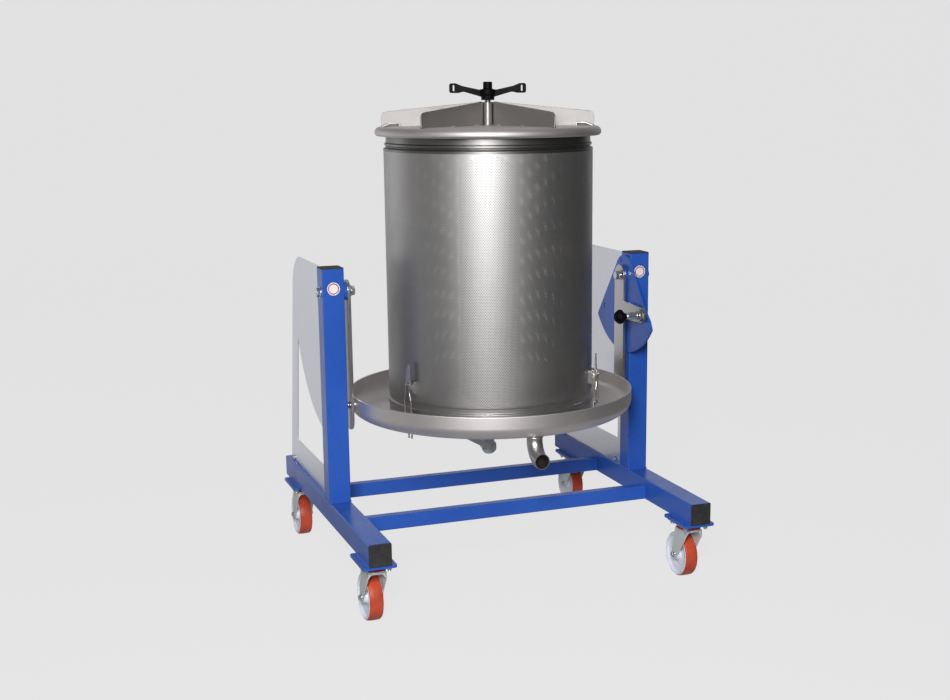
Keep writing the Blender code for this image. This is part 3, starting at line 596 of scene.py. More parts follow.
# colour, direction of the streaks, roughness, strength of the grain, strength of the smudges
STEELS = {
    "basket_steel": ((0.47, 0.46, 0.455), turned_streaks, (0.44, 0.54), 0.6, 0.16),
    "turned_steel": ((0.44, 0.43, 0.425), turned_streaks, (0.36, 0.46), 0.35, 0.12),
    # painted shade: plain steel made dark to stand for the shade under the lid's rim and between the
    # stiffeners
    "painted_shade_steel": ((0.20, 0.195, 0.19), turned_streaks, (0.34, 0.44), 0.35, 0.12),
    "lid_steel": ((0.60, 0.56, 0.555), turned_streaks, (0.54, 0.62), 0.25, 0.10),
    "tray_steel": ((0.76, 0.72, 0.715), turned_streaks, (0.46, 0.56), 0.25, 0.14),
    "bar_steel": ((0.58, 0.57, 0.56), long_streaks(900.0, 900.0, 12.0), (0.26, 0.38), 0.6, 0.10),
    "rib_steel": ((0.36, 0.345, 0.335), long_streaks(60.0, 60.0, 900.0), (0.58, 0.66), 0.25, 0.05),
    "small_steel": ((0.54, 0.53, 0.51), long_streaks(700.0, 700.0, 40.0), (0.28, 0.36), 0.3, 0.10),
    "pipe_steel": ((0.56, 0.54, 0.53), long_streaks(500.0, 500.0, 500.0), (0.34, 0.42), 0.2, 0.10),
    # painted shade: near-black steel for the sheet that darkens the inside of the juice pipe
    "painted_shade_pipe_steel": ((0.10, 0.09, 0.085), long_streaks(90.0, 90.0, 90.0), (0.6, 0.7), 0.5, 0.10),
    "guard_sheet": ((0.74, 0.75, 0.81), long_streaks(2400.0, 2400.0, 30.0), (0.26, 0.32), 0.08, 0.05),
}
# dark and light tone, roughness, then grain, depth, wear and gloss where they differ from the usual
PLASTICS = {
    "black_plastic": ((0.020, 0.020, 0.022), (0.042, 0.042, 0.044), (0.6, 0.75), 700.0, 0.00012, 0.12, 0.3),
    "cast_black": ((0.002, 0.002, 0.0025), (0.004, 0.004, 0.005), (0.46, 0.58), 380.0, 0.0002, 0.01, 0.07),
    "white_hub": ((0.66, 0.69, 0.80), (0.74, 0.76, 0.85), (0.34, 0.48), 500.0, 0.0001),
    "dust_ring": ((0.40, 0.020, 0.016), (0.52, 0.035, 0.025), (0.35, 0.5)),
    "rubber": ((0.018, 0.018, 0.018), (0.032, 0.031, 0.030), (0.66, 0.85), 300.0, 0.0005, 0.1),
    "gasket": ((0.62, 0.61, 0.56), (0.72, 0.71, 0.66), (0.55, 0.75), 400.0, 0.0002),
}
MATERIALS = {name: brushed(name, *values) for name, values in STEELS.items()}
MATERIALS |= {name: moulded(name, *values) for name, values in PLASTICS.items()}
MATERIALS |= {"blue_paint": blue_paint(), "red_tread": tread(),
              "zinc": zinc("zinc", (0.66, 0.69, 0.72), 1.0),
              "pressed_zinc": zinc("pressed_zinc", (0.66, 0.71, 0.71), 0.35),
              "sticker_white": printed("sticker_white", (0.80, 0.80, 0.80)),
              "sticker_red": printed("sticker_red", (0.60, 0.035, 0.030))}


# ================================================================ frame
TUBE = 0.060
TUBE_WALL = 0.003
GAP = 0.0002                             # between faces that would otherwise lie in one plane
LEG = {side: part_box(f"{side}_leg") for side in SIDES}
POST = {side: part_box(f"{side}_post") for side in SIDES}
LEG_TOP = LEG["left"][1].z
LEG_BOTTOM = LEG_TOP - TUBE
LEG_X = middle("right_post").x
POST_Y = middle("right_post").y
POST_TOP = POST["left"][1].z
PAD_Y = {end: JOINTS[f"{end}_left_swivel"]["pos_m"][1] for end in ("front", "rear")}


def fillet_path(size, corner=0.004, step=0.0012):
    """Closed weld path round a square tube that stands on a face, its points evenly spaced."""
    loop = [Vector(p) for p in rounded_square(size, size, corner)]
    points = []
    for start, end in zip(loop, loop[1:] + loop[:1]):
        if (end - start).length > 0.0001:
            points += along(start, end, step)[:-1]
    return points


def ring_bead(points, radius):
    return bead(points, radius, looped=True)


def leg(side, sign):
    """A square tube on the floor side, with two caster pads under it."""
    low, high = LEG[side]
    x = sign * LEG_X
    tube = square_tube(TUBE, TUBE, TUBE_WALL, high.y - low.y)
    shapes = [moved(tube, at(x, z=LEG_BOTTOM + TUBE / 2) @ TO_Y)]
    thick = LEG_BOTTOM - low.z
    for y in PAD_Y.values():
        pad = plate([rectangle(0.090, 0.130, 0.006)], thick, 0.0008)
        shapes.append(moved(pad, at(x, y, low.z + thick / 2)))
        for edge in (x + TUBE / 2 - 0.002, x - TUBE / 2 + 0.002):
            shapes.append(weld_line((edge, y - 0.062, LEG_BOTTOM), (edge, y + 0.062, LEG_BOTTOM), 0.0030))
    piece(f"{side}_leg_tube", shapes, "blue_paint", "frame", f"{side}_leg")


def end_cap(plug_depth):
    """A moulded tube plug: a low crowned head with a raised border, and its plug below z = 0."""
    head = 0.0028
    steps = [(0.0, 0.0), (0.0, head * 0.55), (0.0009, head * 0.9), (0.0022, head), (0.0060, head),
             (0.0072, head * 0.80), (0.020, head * 0.86)]
    crown = loft([rounded_square(TUBE - 2 * inset, TUBE - 2 * inset, 0.0035 - inset * 0.12, z)
                  for inset, z in steps])
    inside = TUBE - 2 * TUBE_WALL - 0.0008
    plug = loft([rounded_square(inside - taper, inside - taper, 0.003, z)
                 for taper, z in ((0.0, 0.0), (0.0, -plug_depth * 0.7), (0.0020, -plug_depth))])
    return [crown, plug]


def caps(side, sign):
    for end, direction in (("front", -1.0), ("rear", 1.0)):
        low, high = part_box(f"{side}_{end}_leg_cap")
        place = at(sign * LEG_X, direction * (LEG[side][1].y + GAP), LEG_BOTTOM + TUBE / 2)
        piece(f"{side}_{end}_leg_plug", end_cap(high.y - low.y - 0.0030), "black_plastic", "frame",
              f"{side}_{end}_leg_cap", place @ turn(-90.0 * direction, "X"))
    piece(f"{side}_post_plug", end_cap(0.0150), "black_plastic", "frame", f"{side}_post_cap",
          at(sign * LEG_X, POST_Y, POST_TOP + GAP))


def post(side, sign):
    height = POST_TOP - LEG_TOP
    tube = moved(square_tube(TUBE, TUBE, TUBE_WALL, height), at(z=height / 2))
    weld = moved(ring_bead(fillet_path(TUBE + 0.001), 0.0020), at(z=2 * GAP))
    piece(f"{side}_post_tube", [tube, weld], "blue_paint", "frame", f"{side}_post",
          at(sign * LEG_X, POST_Y, LEG_TOP))


def crossbar(node):
    low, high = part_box(node)
    size = high - low
    tube = square_tube(size.z, size.y, 0.002, size.x + 2 * GAP, 0.0035)
    shapes = [moved(tube, at(*(low + high) / 2) @ TO_X)]
    for x in (low.x, high.x):
        for y in (low.y, high.y):
            shapes.append(weld_line((x, y, low.z + 0.002), (x, y, high.z - 0.001), 0.0028))
        shapes.append(weld_line((x, low.y + 0.002, high.z), (x, high.y - 0.002, high.z), 0.0026))
    piece(f"{node}_tube", shapes, "blue_paint", "frame", node)


def hex_bolt(across, head, washer_radius, washer=0.0016):
    """A bolt head on a washer, from z = 0 up."""
    return [ring(washer_radius, across * 0.28, washer, 0.0003),
            moved(hexagon(across, head - washer), at(z=washer)),
            moved(disc(across * 0.36, 0.0006, 0.0002), at(z=head - 0.0003))]


def nut_and_end(across, height, shank, tip, washer_radius, washer=0.0016):
    """A nut on a washer from z = 0 up, with the bolt's threaded end standing out of it."""
    return [ring(washer_radius, shank, washer, 0.0003),
            moved(hexagon(across, height - washer), at(z=washer)),
            thread(shank, shank * 0.10, 0.0015, height * 0.5, height + tip)]


def pivot_bolt(side, sign):
    """Head outside the post, nut and thread end inside the arm."""
    ends = [corner.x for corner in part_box(f"{side}_pivot_bolt")][::int(sign)]
    outer, inner = sign * (LEG_X + TUBE / 2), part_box(f"{side}_arm")[0 if sign > 0 else 1].x
    head = abs(ends[1] - outer)
    tip = abs(ends[0] - inner) - head
    out = at(outer, PIVOT.y, PIVOT.z) @ turn(90.0 * sign, "Y")
    back = at(inner - sign * 0.0003, PIVOT.y, PIVOT.z) @ turn(-90.0 * sign, "Y")
    shapes = [moved(shape, out) for shape in hex_bolt(0.022, head, 0.0150)]
    shapes += [moved(shape, back) for shape in nut_and_end(0.022, head, 0.0078, tip, 0.0150)]
    shapes.append(sweep([(outer, PIVOT.y, PIVOT.z), (inner, PIVOT.y, PIVOT.z)], 0.0078, 24))
    piece(f"{side}_pivot_screw", shapes, "zinc", "frame", f"{side}_pivot_bolt")


def pivot_boss():
    low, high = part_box("left_pivot_boss")
    piece("left_pivot_spacer", ring(0.024, PIVOT_HOLE, high.x - low.x, 0.0008), "blue_paint", "frame",
          "left_pivot_boss", at(low.x, PIVOT.y, PIVOT.z) @ TO_X)


PIVOT_HOLE = 0.0086                      # radius of the bores round a pivot bolt
INDEX_RADIUS = 0.168                     # the plunger's distance from the tilt axis
INDEX_ANGLES = (216.0, 320.0)            # the sector's two holes, from +Y towards +Z


def index_sector():
    """The fan plate with the two stop holes, its spacer, and the screws that hold it to the post."""
    low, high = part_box("index_sector")
    thick = 0.006
    fan = arc((0.0, 0.0), 0.226, 217.0, 322.5, 61) + arc((0.0, 0.0), 0.058, 30.0, 155.0, 45)
    fan += [(-0.122, -0.070), (-0.168, -0.112)]
    holes = [circle(PIVOT_HOLE, count=32)]
    for angle in map(math.radians, INDEX_ANGLES):
        holes.append(circle(0.0075, (INDEX_RADIUS * math.cos(angle), INDEX_RADIUS * math.sin(angle))))
    spacer = high.x - low.x - thick
    shapes = [moved(plate([fan] + holes, thick, 0.0008), at(high.x - thick / 2) @ UPRIGHT),
              moved(ring(0.022, PIVOT_HOLE, spacer, 0.0008), at(low.x) @ TO_X)]
    for y, z in ((0.024, 0.040), (-0.010, -0.070)):
        shapes += [moved(shape, at(high.x - thick, y, z) @ turn(-90, "Y"))
                   for shape in hex_bolt(0.010, 0.0028, 0.0075, 0.0006)]
    piece("index_plate", shapes, "blue_paint", "frame", "index_sector", at(y=PIVOT.y, z=PIVOT.z))


def guard(side, sign):
    """A thin polished side sheet behind a post, with a window that follows the tray's path."""
    low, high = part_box(f"{side}_guard")
    lean = 0.187                         # how far the rear edge leans forward for each metre up
    rim = 0.079                          # width of the strip round the window

    def rear(z):
        return high.y - lean * (z - low.z)

    border = rounded([(low.y, low.z, 0.002), (high.y, low.z, 0.004), (rear(high.z), high.z, 0.110),
                      (low.y, high.z, 0.004)], True, 28)
    reach = 0.400                        # radius of the window's upper edge about the tilt axis
    sill, front = low.z + 0.077, low.y + 0.026
    last = -math.degrees(math.acos((front - PIVOT.y) / reach))
    window = [(front, sill), (rear(sill) - rim, sill)]
    window += arc((PIVOT.y, PIVOT.z), reach, -27.0, last, 44)
    x = (low.x + high.x) / 2
    thick = high.x - low.x
    sheet = moved(plate([border, window], thick, 0.0004), at(x) @ UPRIGHT)
    piece(f"{side}_guard_sheet", sheet, "guard_sheet", "frame", f"{side}_guard")

    tabs, bolts = [], []
    inward = x - sign * (thick / 2 + 0.0016)
    small, large = (0.014, 0.012), (0.024, 0.030)
    for y, z, (wide, tall) in ((low.y + 0.034, low.z + 0.007, small), (high.y - 0.040, low.z + 0.007, small),
                               (low.y + 0.010, high.z - 0.055, large),
                               (low.y + 0.010, low.z + 0.300, large)):
        tab = rounded(mirrored([(wide / 2, -tall / 2, 0.001), (wide / 2, tall / 2 + 0.002, 0.004)]))
        tabs.append(moved(plate([tab], 0.003, 0.0005), at(inward, y, z) @ UPRIGHT))
        out = at(x + sign * thick / 2, y, z) @ turn(90.0 * sign, "Y")
        back = at(inward - sign * 0.0015, y, z) @ turn(-90.0 * sign, "Y")
        bolts += [moved(shape, out) for shape in hex_bolt(0.010, 0.0058, 0.0068, 0.0012)]
        bolts += [moved(shape, back) for shape in nut_and_end(0.010, 0.0052, 0.0030, 0.0024, 0.0062, 0.0010)]
    piece(f"{side}_guard_tabs", tabs, "blue_paint", "frame")
    piece(f"{side}_guard_bolts", bolts, "zinc", "frame")


def sticker(side, sign):
    """A round white label with a thin red ring and no sign in it, on the post's front face."""
    place = at(sign * LEG_X, POST_Y - TUBE / 2, PIVOT.z + 0.011) @ ON_EDGE
    piece(f"{side}_label_disc", disc(0.0175, 0.0003, 0.0001, 64), "sticker_white", "frame", place=place)
    piece(f"{side}_label_ring", ring(0.0150, 0.0122, 0.0004, 0.0001), "sticker_red", "frame", place=place)


for side, sign in SIDES.items():
    leg(side, sign)
    caps(side, sign)
    post(side, sign)
    pivot_bolt(side, sign)
    guard(side, sign)
    sticker(side, sign)
crossbar("front_crossbar")
crossbar("rear_crossbar")
pivot_boss()
index_sector()


# ================================================================ casters
WHEEL = middle("front_left_wheel")
WHEEL_RADIUS = JOINTS["front_left_roll"]["pos_m"][2]
SWIVEL = Vector(JOINTS["front_left_swivel"]["pos_m"])
TRAIL = JOINTS["front_left_roll"]["pos_m"][1] - SWIVEL.y
HUB_HALF = (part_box("front_left_wheel")[1].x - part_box("front_left_wheel")[0].x) / 2
TREAD_HALF = (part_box("front_left_tread")[1].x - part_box("front_left_tread")[0].x) / 2
PLATE_LOW, PLATE_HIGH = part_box("front_left_caster_plate")
FORK_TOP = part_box("front_left_fork")[1].z
TREAD_SEAT = 0.0575                      # radius where the tread is cast onto the core
FORK_HALF = 0.030                        # half of the fork's length at its head
CHEEK = HUB_HALF + 0.0005                # from the wheel's middle to a cheek's inner face
CHEEK_THICK = 0.003
PLATE_HOLES = [(x, y) for x in (-0.0305, 0.0305) for y in (-0.0395, 0.0395)]


def caster_plate():
    """Top plate with four slots, screws and nuts, and the upper ball race. At the swivel axis."""
    low, top = PLATE_LOW.z, PLATE_HIGH.z
    slots = [[(x + px * 0.0045, y + py * 0.0065) for px, py in circle(1.0, count=24)]
             for x, y in PLATE_HOLES]
    outline = rectangle(0.085, 0.105, 0.009, 8)
    race = [(0.0, top - 0.0025), (0.0345, top - 0.0025), (0.0350, top - 0.0050, 0.001),
            (0.0335, top - 0.0075, 0.002), (0.0300, low + 0.0018, 0.001), (0.0285, low), (0.0, low)]
    steel = [moved(plate([outline] + slots, 0.003, 0.0006), at(z=top - 0.0015)), spun(race, 72, 4)]
    screws = [moved(shape, at(x, y, top - 0.003) @ turn(180, "X")) for x, y in PLATE_HOLES
              for shape in nut_and_end(0.0125, 0.0078, 0.0040, 0.0038, 0.0085)]
    return steel, screws


def dust_ring():
    """The red plastic ring between the two races."""
    high, low = FORK_TOP + 0.0016, FORK_TOP - 0.0014
    return turned([(0.0335, high, 0.0006), (0.0338, low, 0.0008), (0.0290, low, 0.0004),
                   (0.0290, high, 0.0004)],
                  64, 3)


def caster_fork():
    """A pressed fork: a head under the race, an arched lip in front, flanged cheeks to the axle."""
    top, low = FORK_TOP, FORK_TOP - 0.007
    shapes = [spun([(0.0, top - 0.0020), (0.0260, top - 0.0020, 0.001), (0.0285, top - 0.0030, 0.001),
                    (0.0322, top - 0.0042, 0.001), (0.0315, low + 0.001, 0.001), (0.0, low + 0.001)], 64, 4)]
    wide = CHEEK + CHEEK_THICK
    shapes.append(moved(plate([rectangle(2 * wide, 2 * FORK_HALF, 0.005)], 0.004, 0.0010),
                        at(z=low + 0.002)))
    arch = mirrored([(wide, low + 0.0030, 0.002), (wide, low - 0.0120, 0.001),
                     (wide - 0.0040, low - 0.0120, 0.001), (wide - 0.0100, low - 0.0030, 0.009)])
    shapes.append(moved(strip(rounded(arch, True, 8), 0.003, 0.0010), at(y=0.0015 - FORK_HALF)))
    y, z = TRAIL, WHEEL_RADIUS
    line = rounded([(-FORK_HALF, low + 0.0040, 0.003), (-FORK_HALF, low - 0.0140, 0.016),
                    (y - 0.0140, z - 0.0040, 0.010), (y, z - 0.0150, 0.011), (y + 0.0140, z - 0.0040, 0.010),
                    (y + 0.0100, z + 0.0260, 0.020), (0.0370, low - 0.0180, 0.016),
                    (FORK_HALF, low + 0.0040, 0.003)], True, 9)
    hole = circle(0.0054, (y, z), 32)
    for side in (-1.0, 1.0):
        cheek = plate([line, hole], CHEEK_THICK, 0.0008)
        shapes.append(moved(cheek, at(side * (CHEEK + CHEEK_THICK / 2)) @ UPRIGHT))
        rim = [Vector((side * (CHEEK + 0.0022), *point)) for point in line if point[1] < low - 0.004]
        front = [p for p in rim if p.y < y - 0.010]
        back = [p for p in rim if p.y >= y - 0.010 and p.z > z + 0.006]
        shapes += [sweep(edge, 0.0018, 8) for edge in (front, back)]
    shapes.append(moved(disc(0.0085, 0.0028, 0.0010), at(z=low - 0.0022)))
    return shapes


def caster_axle():
    """Axle bolt with its head on one cheek and a self-locking nut on the other."""
    reach = CHEEK + CHEEK_THICK + GAP
    head = WHEEL.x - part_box("front_left_axle")[0].x - reach
    shapes = [moved(shape, at(-reach) @ turn(-90, "Y")) for shape in hex_bolt(0.013, head, 0.0082, 0.0012)]
    nut = [ring(0.0082, 0.005, 0.0012, 0.0003), moved(hexagon(0.013, 0.0050), at(z=0.0012)),
           moved(ring(0.0053, 0.0034, 0.0022, 0.0006), at(z=0.0056)),
           moved(disc(0.0036, 0.0014, 0.0004), at(z=0.0056))]
    shapes += [moved(shape, at(reach) @ TO_X) for shape in nut]
    shapes.append(sweep([(-reach, 0.0, 0.0), (reach, 0.0, 0.0)], 0.0049, 24))
    return [moved(shape, at(y=TRAIL, z=WHEEL_RADIUS)) for shape in shapes]


def wheel_core():
    """Polyamide core: a flange that laps the tread, a smooth dish on both faces, a long hub."""
    lap = TREAD_HALF - 0.0002
    half = [(0.0056, HUB_HALF), (0.0130, HUB_HALF, 0.0004), (0.0150, HUB_HALF - 0.0010, 0.0010),
            (0.0180, 0.0100, 0.0030), (0.0300, 0.0085, 0.0100), (0.0500, 0.0130, 0.0060),
            (0.0560, lap + 0.0008, 0.0010), (0.0589, lap + 0.0008, 0.0006), (0.0589, lap), (TREAD_SEAT, lap)]
    bushes = [moved(ring(0.0088, 0.0052, 0.0010, 0.0003), TO_X @ at(z=z - 0.0005))
              for z in (-HUB_HALF, HUB_HALF)]
    return [moved(turned(flipped(half), 96), TO_X)], bushes


def wheel_tread():
    """A cast tyre with a slightly crowned face and rounded shoulders."""
    half = TREAD_HALF - 0.0003
    profile = flipped([(TREAD_SEAT + 0.0001, half, 0.0004), (WHEEL_RADIUS - 0.0034, half, 0.0008),
                       (WHEEL_RADIUS - 0.0008, half - 0.0026, 0.0022), (WHEEL_RADIUS, 0.0060, 0.030)])
    return moved(turned(profile, 128, 7), TO_X)


def casters():
    steel, screws = caster_plate()
    core, bushes = wheel_core()
    sets = (("top_plate", steel, "zinc", "", "_caster_plate"), ("plate_screws", screws, "zinc", "", None),
            ("dust_ring", [dust_ring()], "dust_ring", "_caster", None),
            ("swivel_fork", caster_fork(), "pressed_zinc", "_caster", "_fork"),
            ("axle_bolt", caster_axle(), "zinc", "_caster", "_axle"),
            ("wheel_core", core, "white_hub", "_caster_wheel", "_wheel"),
            ("hub_bushes", bushes, "zinc", "_caster_wheel", None),
            ("tyre", [wheel_tread()], "red_tread", "_caster_wheel", "_tread"))
    for end, side in CORNERS:
        corner = f"{end}_{side}"
        spot = at(SIDES[side] * LEG_X, PAD_Y[end])
        hub = spot @ at(y=TRAIL, z=WHEEL_RADIUS)
        for name, shapes, material, body, node in sets:
            place = hub if body == "_caster_wheel" else spot
            piece(f"{corner}_{name}", [copied(shape, place) for shape in shapes], material,
                  corner + body if body else "frame", corner + node if node else None)
    for _, shapes, *_ in sets:
        discard(*shapes)


casters()


# ================================================================ arms and index plunger
def arm(side, sign):
    """A flat bar with round ends, hung on the pivot and bolted to a boss on the tray."""
    low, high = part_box(f"{side}_arm")
    thick, half, shift = 0.008, 0.030, 0.006
    face = high.x if sign > 0 else low.x
    loop = arc((shift, 0.0), half, 0.0, 180.0, 25)
    holes = [circle(PIVOT_HOLE, count=32)]
    if side == "right":
        angle = math.radians(INDEX_ANGLES[0])
        y, z = INDEX_RADIUS * math.cos(angle), INDEX_RADIUS * math.sin(angle)
        edge = shift - half
        loop += [(edge, z + 0.025)] + arc((y, z), 0.022, 90.0, 270.0, 21) + [(edge, z - 0.026)]
        holes.append(circle(0.0065, (y, z), 32))
    loop += arc((shift, low.z - PIVOT.z + half), half, 180.0, 360.0, 25)
    bar = moved(plate([loop] + holes, thick, 0.0007),
                at(face - sign * thick / 2, PIVOT.y, PIVOT.z) @ UPRIGHT)
    tray_side = AXIS.x + sign * TRAY_RADIUS
    z = TRAY_HIGH.z - 0.020
    boss = sweep([(face - sign * (thick - 0.001), AXIS.y, z), (tray_side + sign * 0.0001, AXIS.y, z)],
                 0.014, 40)
    weld = [(tray_side + sign * 0.0006, y, z) for y, z in circle(0.0145, (AXIS.y, z), 72)]
    piece(f"{side}_hanger", [bar, boss, ring_bead(weld, 0.0016)], "bar_steel", "press", f"{side}_arm")
    bolt = [ring(0.0100, 0.005, 0.0012, 0.0003), moved(disc(0.0085, 0.0062, 0.0026), at(z=0.0010))]
    piece(f"{side}_hanger_bolt", bolt, "small_steel", "press",
          place=at(face, AXIS.y, z) @ turn(90.0 * sign, "Y"))


def index_plunger():
    """Nickel sleeve with a hex flange and a nut behind the arm, sliding pin, and a round black knob."""
    centre = middle("plunger_sleeve")

    def axial(node):
        low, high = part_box(node)
        return high.x - low.x, at(low.x, centre.y, centre.z) @ TO_X

    length, spot = axial("plunger_sleeve")
    profile = [(0.0065, 0.0, 0.0004), (0.0092, 0.0, 0.0008), (0.0104, 0.0045, 0.001),
               (0.0104, length - 0.0200, 0.0004), (0.0096, length - 0.0190, 0.0004),
               (0.0096, length - 0.0065, 0.0004), (0.0104, length - 0.0055, 0.0004),
               (0.0104, length, 0.0003), (0.0065, length, 0.0003)]
    flange = moved(hexagon(0.0325, 0.0062, 0.0014, 0.0100), at(z=length - 0.0062))
    collar = moved(hexagon(0.0240, 0.0045, 0.0010, 0.0100), at(z=length - 0.0135))
    piece("plunger_barrel", [turned(profile, 48, 3), flange, collar], "zinc", "press", "plunger_sleeve",
          spot)

    length, spot = axial("plunger_pin")
    pin = spun([(0.0, length), (0.0058, length, 0.0022), (0.0058, 0.0), (0.0, 0.0)], 40, 6)
    groove = moved(ring(0.0063, 0.0050, 0.0016, 0.0004), at(z=0.0135))
    piece("plunger_rod", [pin, groove], "small_steel", "index_plunger", "plunger_pin", spot)

    low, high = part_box("plunger_knob")
    depth, radius = high.x - low.x, (high.z - low.z) / 2
    cap = [(0.0, depth), (radius * 0.62, depth, 0.006), (radius, depth * 0.66, 0.006),
           (radius * 0.98, depth * 0.42, 0.004), (radius * 0.50, depth * 0.16, 0.006),
           (radius * 0.44, 0.0, 0.001), (0.0062, 0.0, 0.0005), (0.0062, depth * 0.5), (0.0, depth * 0.5)]
    piece("plunger_grip", spun(cap, 72, 8), "cast_black", "index_plunger", "plunger_knob",
          at(high.x, centre.y, centre.z) @ turn(-90, "Y"))


# ================================================================ drip tray, spout, water inlet
LATCHES = {name: Vector(JOINTS[f"{name}_latch_open"]["pos_m"]) for name in ("left", "right", "rear")}


def latch_angle(name):
    pivot = LATCHES[name]
    return math.degrees(math.atan2(pivot.y - AXIS.y, pivot.x - AXIS.x))


def about_basket(degrees):
    """Places a shape drawn with +X pointing outwards from the basket's axis."""
    return ON_AXIS @ turn(degrees, "Z")


TRAY_WALL = 0.0025
TRAY_FLOOR = TRAY_LOW.z + TRAY_WALL
BASKET_RADIUS = 0.2866
ROD_HOLE = 0.0135                        # radius of the openings round the tie rod
SPOUT = middle("spout")


def half_ellipse(centre, wide, tall, start, end, count):
    return [(centre[0] + wide * math.cos(math.radians(a)), centre[1] + tall * math.sin(math.radians(a)))
            for a in np.linspace(start, end, count)]


def drip_tray():
    """A spun round tray: flat floor, swept-up knee, upright wall with a rolled rim."""
    knee, rise, roll = 0.350, 0.036, 0.0022
    rim = TRAY_HIGH.z
    bend = (knee, TRAY_LOW.z + rise)
    outer = half_ellipse((TRAY_RADIUS - roll, rim - roll), roll, roll, 150.0, 0.0, 9)
    outer += half_ellipse(bend, TRAY_RADIUS - knee, rise, 0.0, -90.0, 18)
    inner = half_ellipse(bend, TRAY_RADIUS - knee - TRAY_WALL, rise - TRAY_WALL, -90.0, 0.0, 14)
    inner.append((TRAY_RADIUS - TRAY_WALL - 0.0006, rim - 2 * roll))
    pan = lathe(outer + [(ROD_HOLE, TRAY_LOW.z), (ROD_HOLE, TRAY_FLOOR)] + inner, 192, closed=True)
    outlet = moved(disc(0.0190, 0.04), at(SPOUT.x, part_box("spout")[1].y - 0.021, TRAY_LOW.z - 0.02))
    piece("tray_pan", boolean(moved(pan, ON_AXIS), outlet), "tray_steel", "press", "drip_tray")


def latch_catch(name):
    """The bent strip on the tray floor whose lip the latch's wire hooks under, with its two studs."""
    foot, face, lip = (BASKET_RADIUS + reach for reach in (0.0125, 0.0160, 0.0235))
    top = TRAY_FLOOR + 0.0395
    line = rounded([(foot, TRAY_FLOOR - 0.001), (face, TRAY_FLOOR - 0.001), (face, top - 0.0035, 0.0008),
                    (lip - 0.0015, top - 0.0035, 0.0004), (lip, top - 0.0045, 0.0010),
                    (lip, top - 0.0010, 0.0008), (foot, top, 0.0034)], True, 5)
    shapes = [strip(line, 0.020)]
    for edge in (foot - 0.0004, face + 0.0004):
        shapes.append(bead([(edge, y, TRAY_FLOOR + 0.0004) for y in np.linspace(-0.010, 0.010, 20)], 0.0018))
    for y in (-0.0060, 0.0060):
        for stud in (thread(0.0024, 0.0003, 0.0012, TRAY_LOW.z - 0.0320, TRAY_LOW.z),
                     moved(hexagon(0.0070, 0.0036, 0.0006), at(z=TRAY_LOW.z - 0.0038))):
            shapes.append(moved(stud, at((foot + face) / 2, y)))
    piece(f"{name}_catch", shapes, "small_steel", "press", place=about_basket(latch_angle(name)))


def spout():
    """The juice pipe: out of the tray floor, down and round to the front, with a dark sheet inside it as
    painted shade.
    """
    radius, bend = 0.021, 0.050
    x, y = SPOUT.x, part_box("spout")[1].y - radius
    drop = TRAY_LOW.z - 0.006
    line = [(x, y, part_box("spout")[1].z), (x, y, drop + 0.004)]
    line += [(x, a, b) for a, b in arc((y - bend, drop), bend, 0.0, -90.0, 25)]
    tube = pipe(line + [(x, y - bend - 0.004, drop - bend)], radius, radius - 0.002, 48)
    seam = [(a, b, TRAY_LOW.z - 0.0004) for a, b in circle(radius + 0.0006, (x, y), 109)]
    piece("juice_pipe", [tube, ring_bead(seam, 0.0018)], "pipe_steel", "press", "spout")
    # a dark sheet just inside the pipe's bore: painted shade in the opening
    lining = pipe(line[1:] + [(x, y - bend - 0.0032, drop - bend)], radius - 0.0021, radius - 0.0025, 48)
    piece("juice_pipe_shade_lining", lining, "painted_shade_pipe_steel", "press")


def water_inlet():
    """A quarter-turn ball valve on the tray's middle, with hex ends and a ribbed hose tail to the rear."""
    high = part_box("water_inlet")[1]
    x, y = AXIS.x - 0.007, AXIS.y
    _, stem, z = JOINTS["water_valve_turn"]["pos_m"]
    top, across = high.z, 0.0330
    shapes = [moved(shape, at(x, y, low)) for shape, low in (
        (disc(0.024, 0.0075, 0.0012), top - 0.0075), (hexagon(across, 0.0120, 0.0016), top - 0.0200),
        (disc(0.0150, 0.060, 0.001), top - 0.0750), (hexagon(across, 0.0100, 0.0016), z + 0.0190),
        (disc(0.0150, 0.030, 0.001), z - 0.002))]
    ball = [(0.0, 0.0205), (0.0130, 0.0185, 0.006), (0.0213, 0.0080, 0.008), (0.0213, -0.0080, 0.008),
            (0.0130, -0.0205, 0.006), (0.0, -0.0213)]
    shapes.append(moved(spun(ball, 56, 8), at(x, y, z)))
    end = high.y - y
    tail = [(0.0, 0.0), (0.0150, 0.0), (0.0150, end - 0.0400, 0.001)]
    for start in (end - 0.0390 + i * 0.0088 for i in range(4)):
        tail += [(0.0120, start), (0.0142, start + 0.0074, 0.0006), (0.0122, start + 0.0078)]
    tail += [(0.0116, end, 0.0006), (0.0090, end, 0.0004), (0.0090, end - 0.030), (0.0, end - 0.030)]
    shapes.append(moved(lathe(rounded(tail, False, 3)[::-1], 48), at(x, y, z) @ TO_Y))
    shapes.append(moved(hexagon(across, 0.0140, 0.0016), at(x, y + 0.0190, z) @ TO_Y))
    shapes.append(moved(disc(0.0085, 0.0100, 0.001), at(x, stem + 0.0040, z) @ TO_Y))
    shapes.append(sweep([(x, stem - 0.0040, z), (x, y, z)], 0.0055, 24))
    shapes.append(moved(hexagon(0.0100, 0.0035, 0.0008), at(x, stem - 0.0017, z) @ ON_EDGE))
    piece("water_valve_body", shapes, "zinc", "press", "water_inlet")


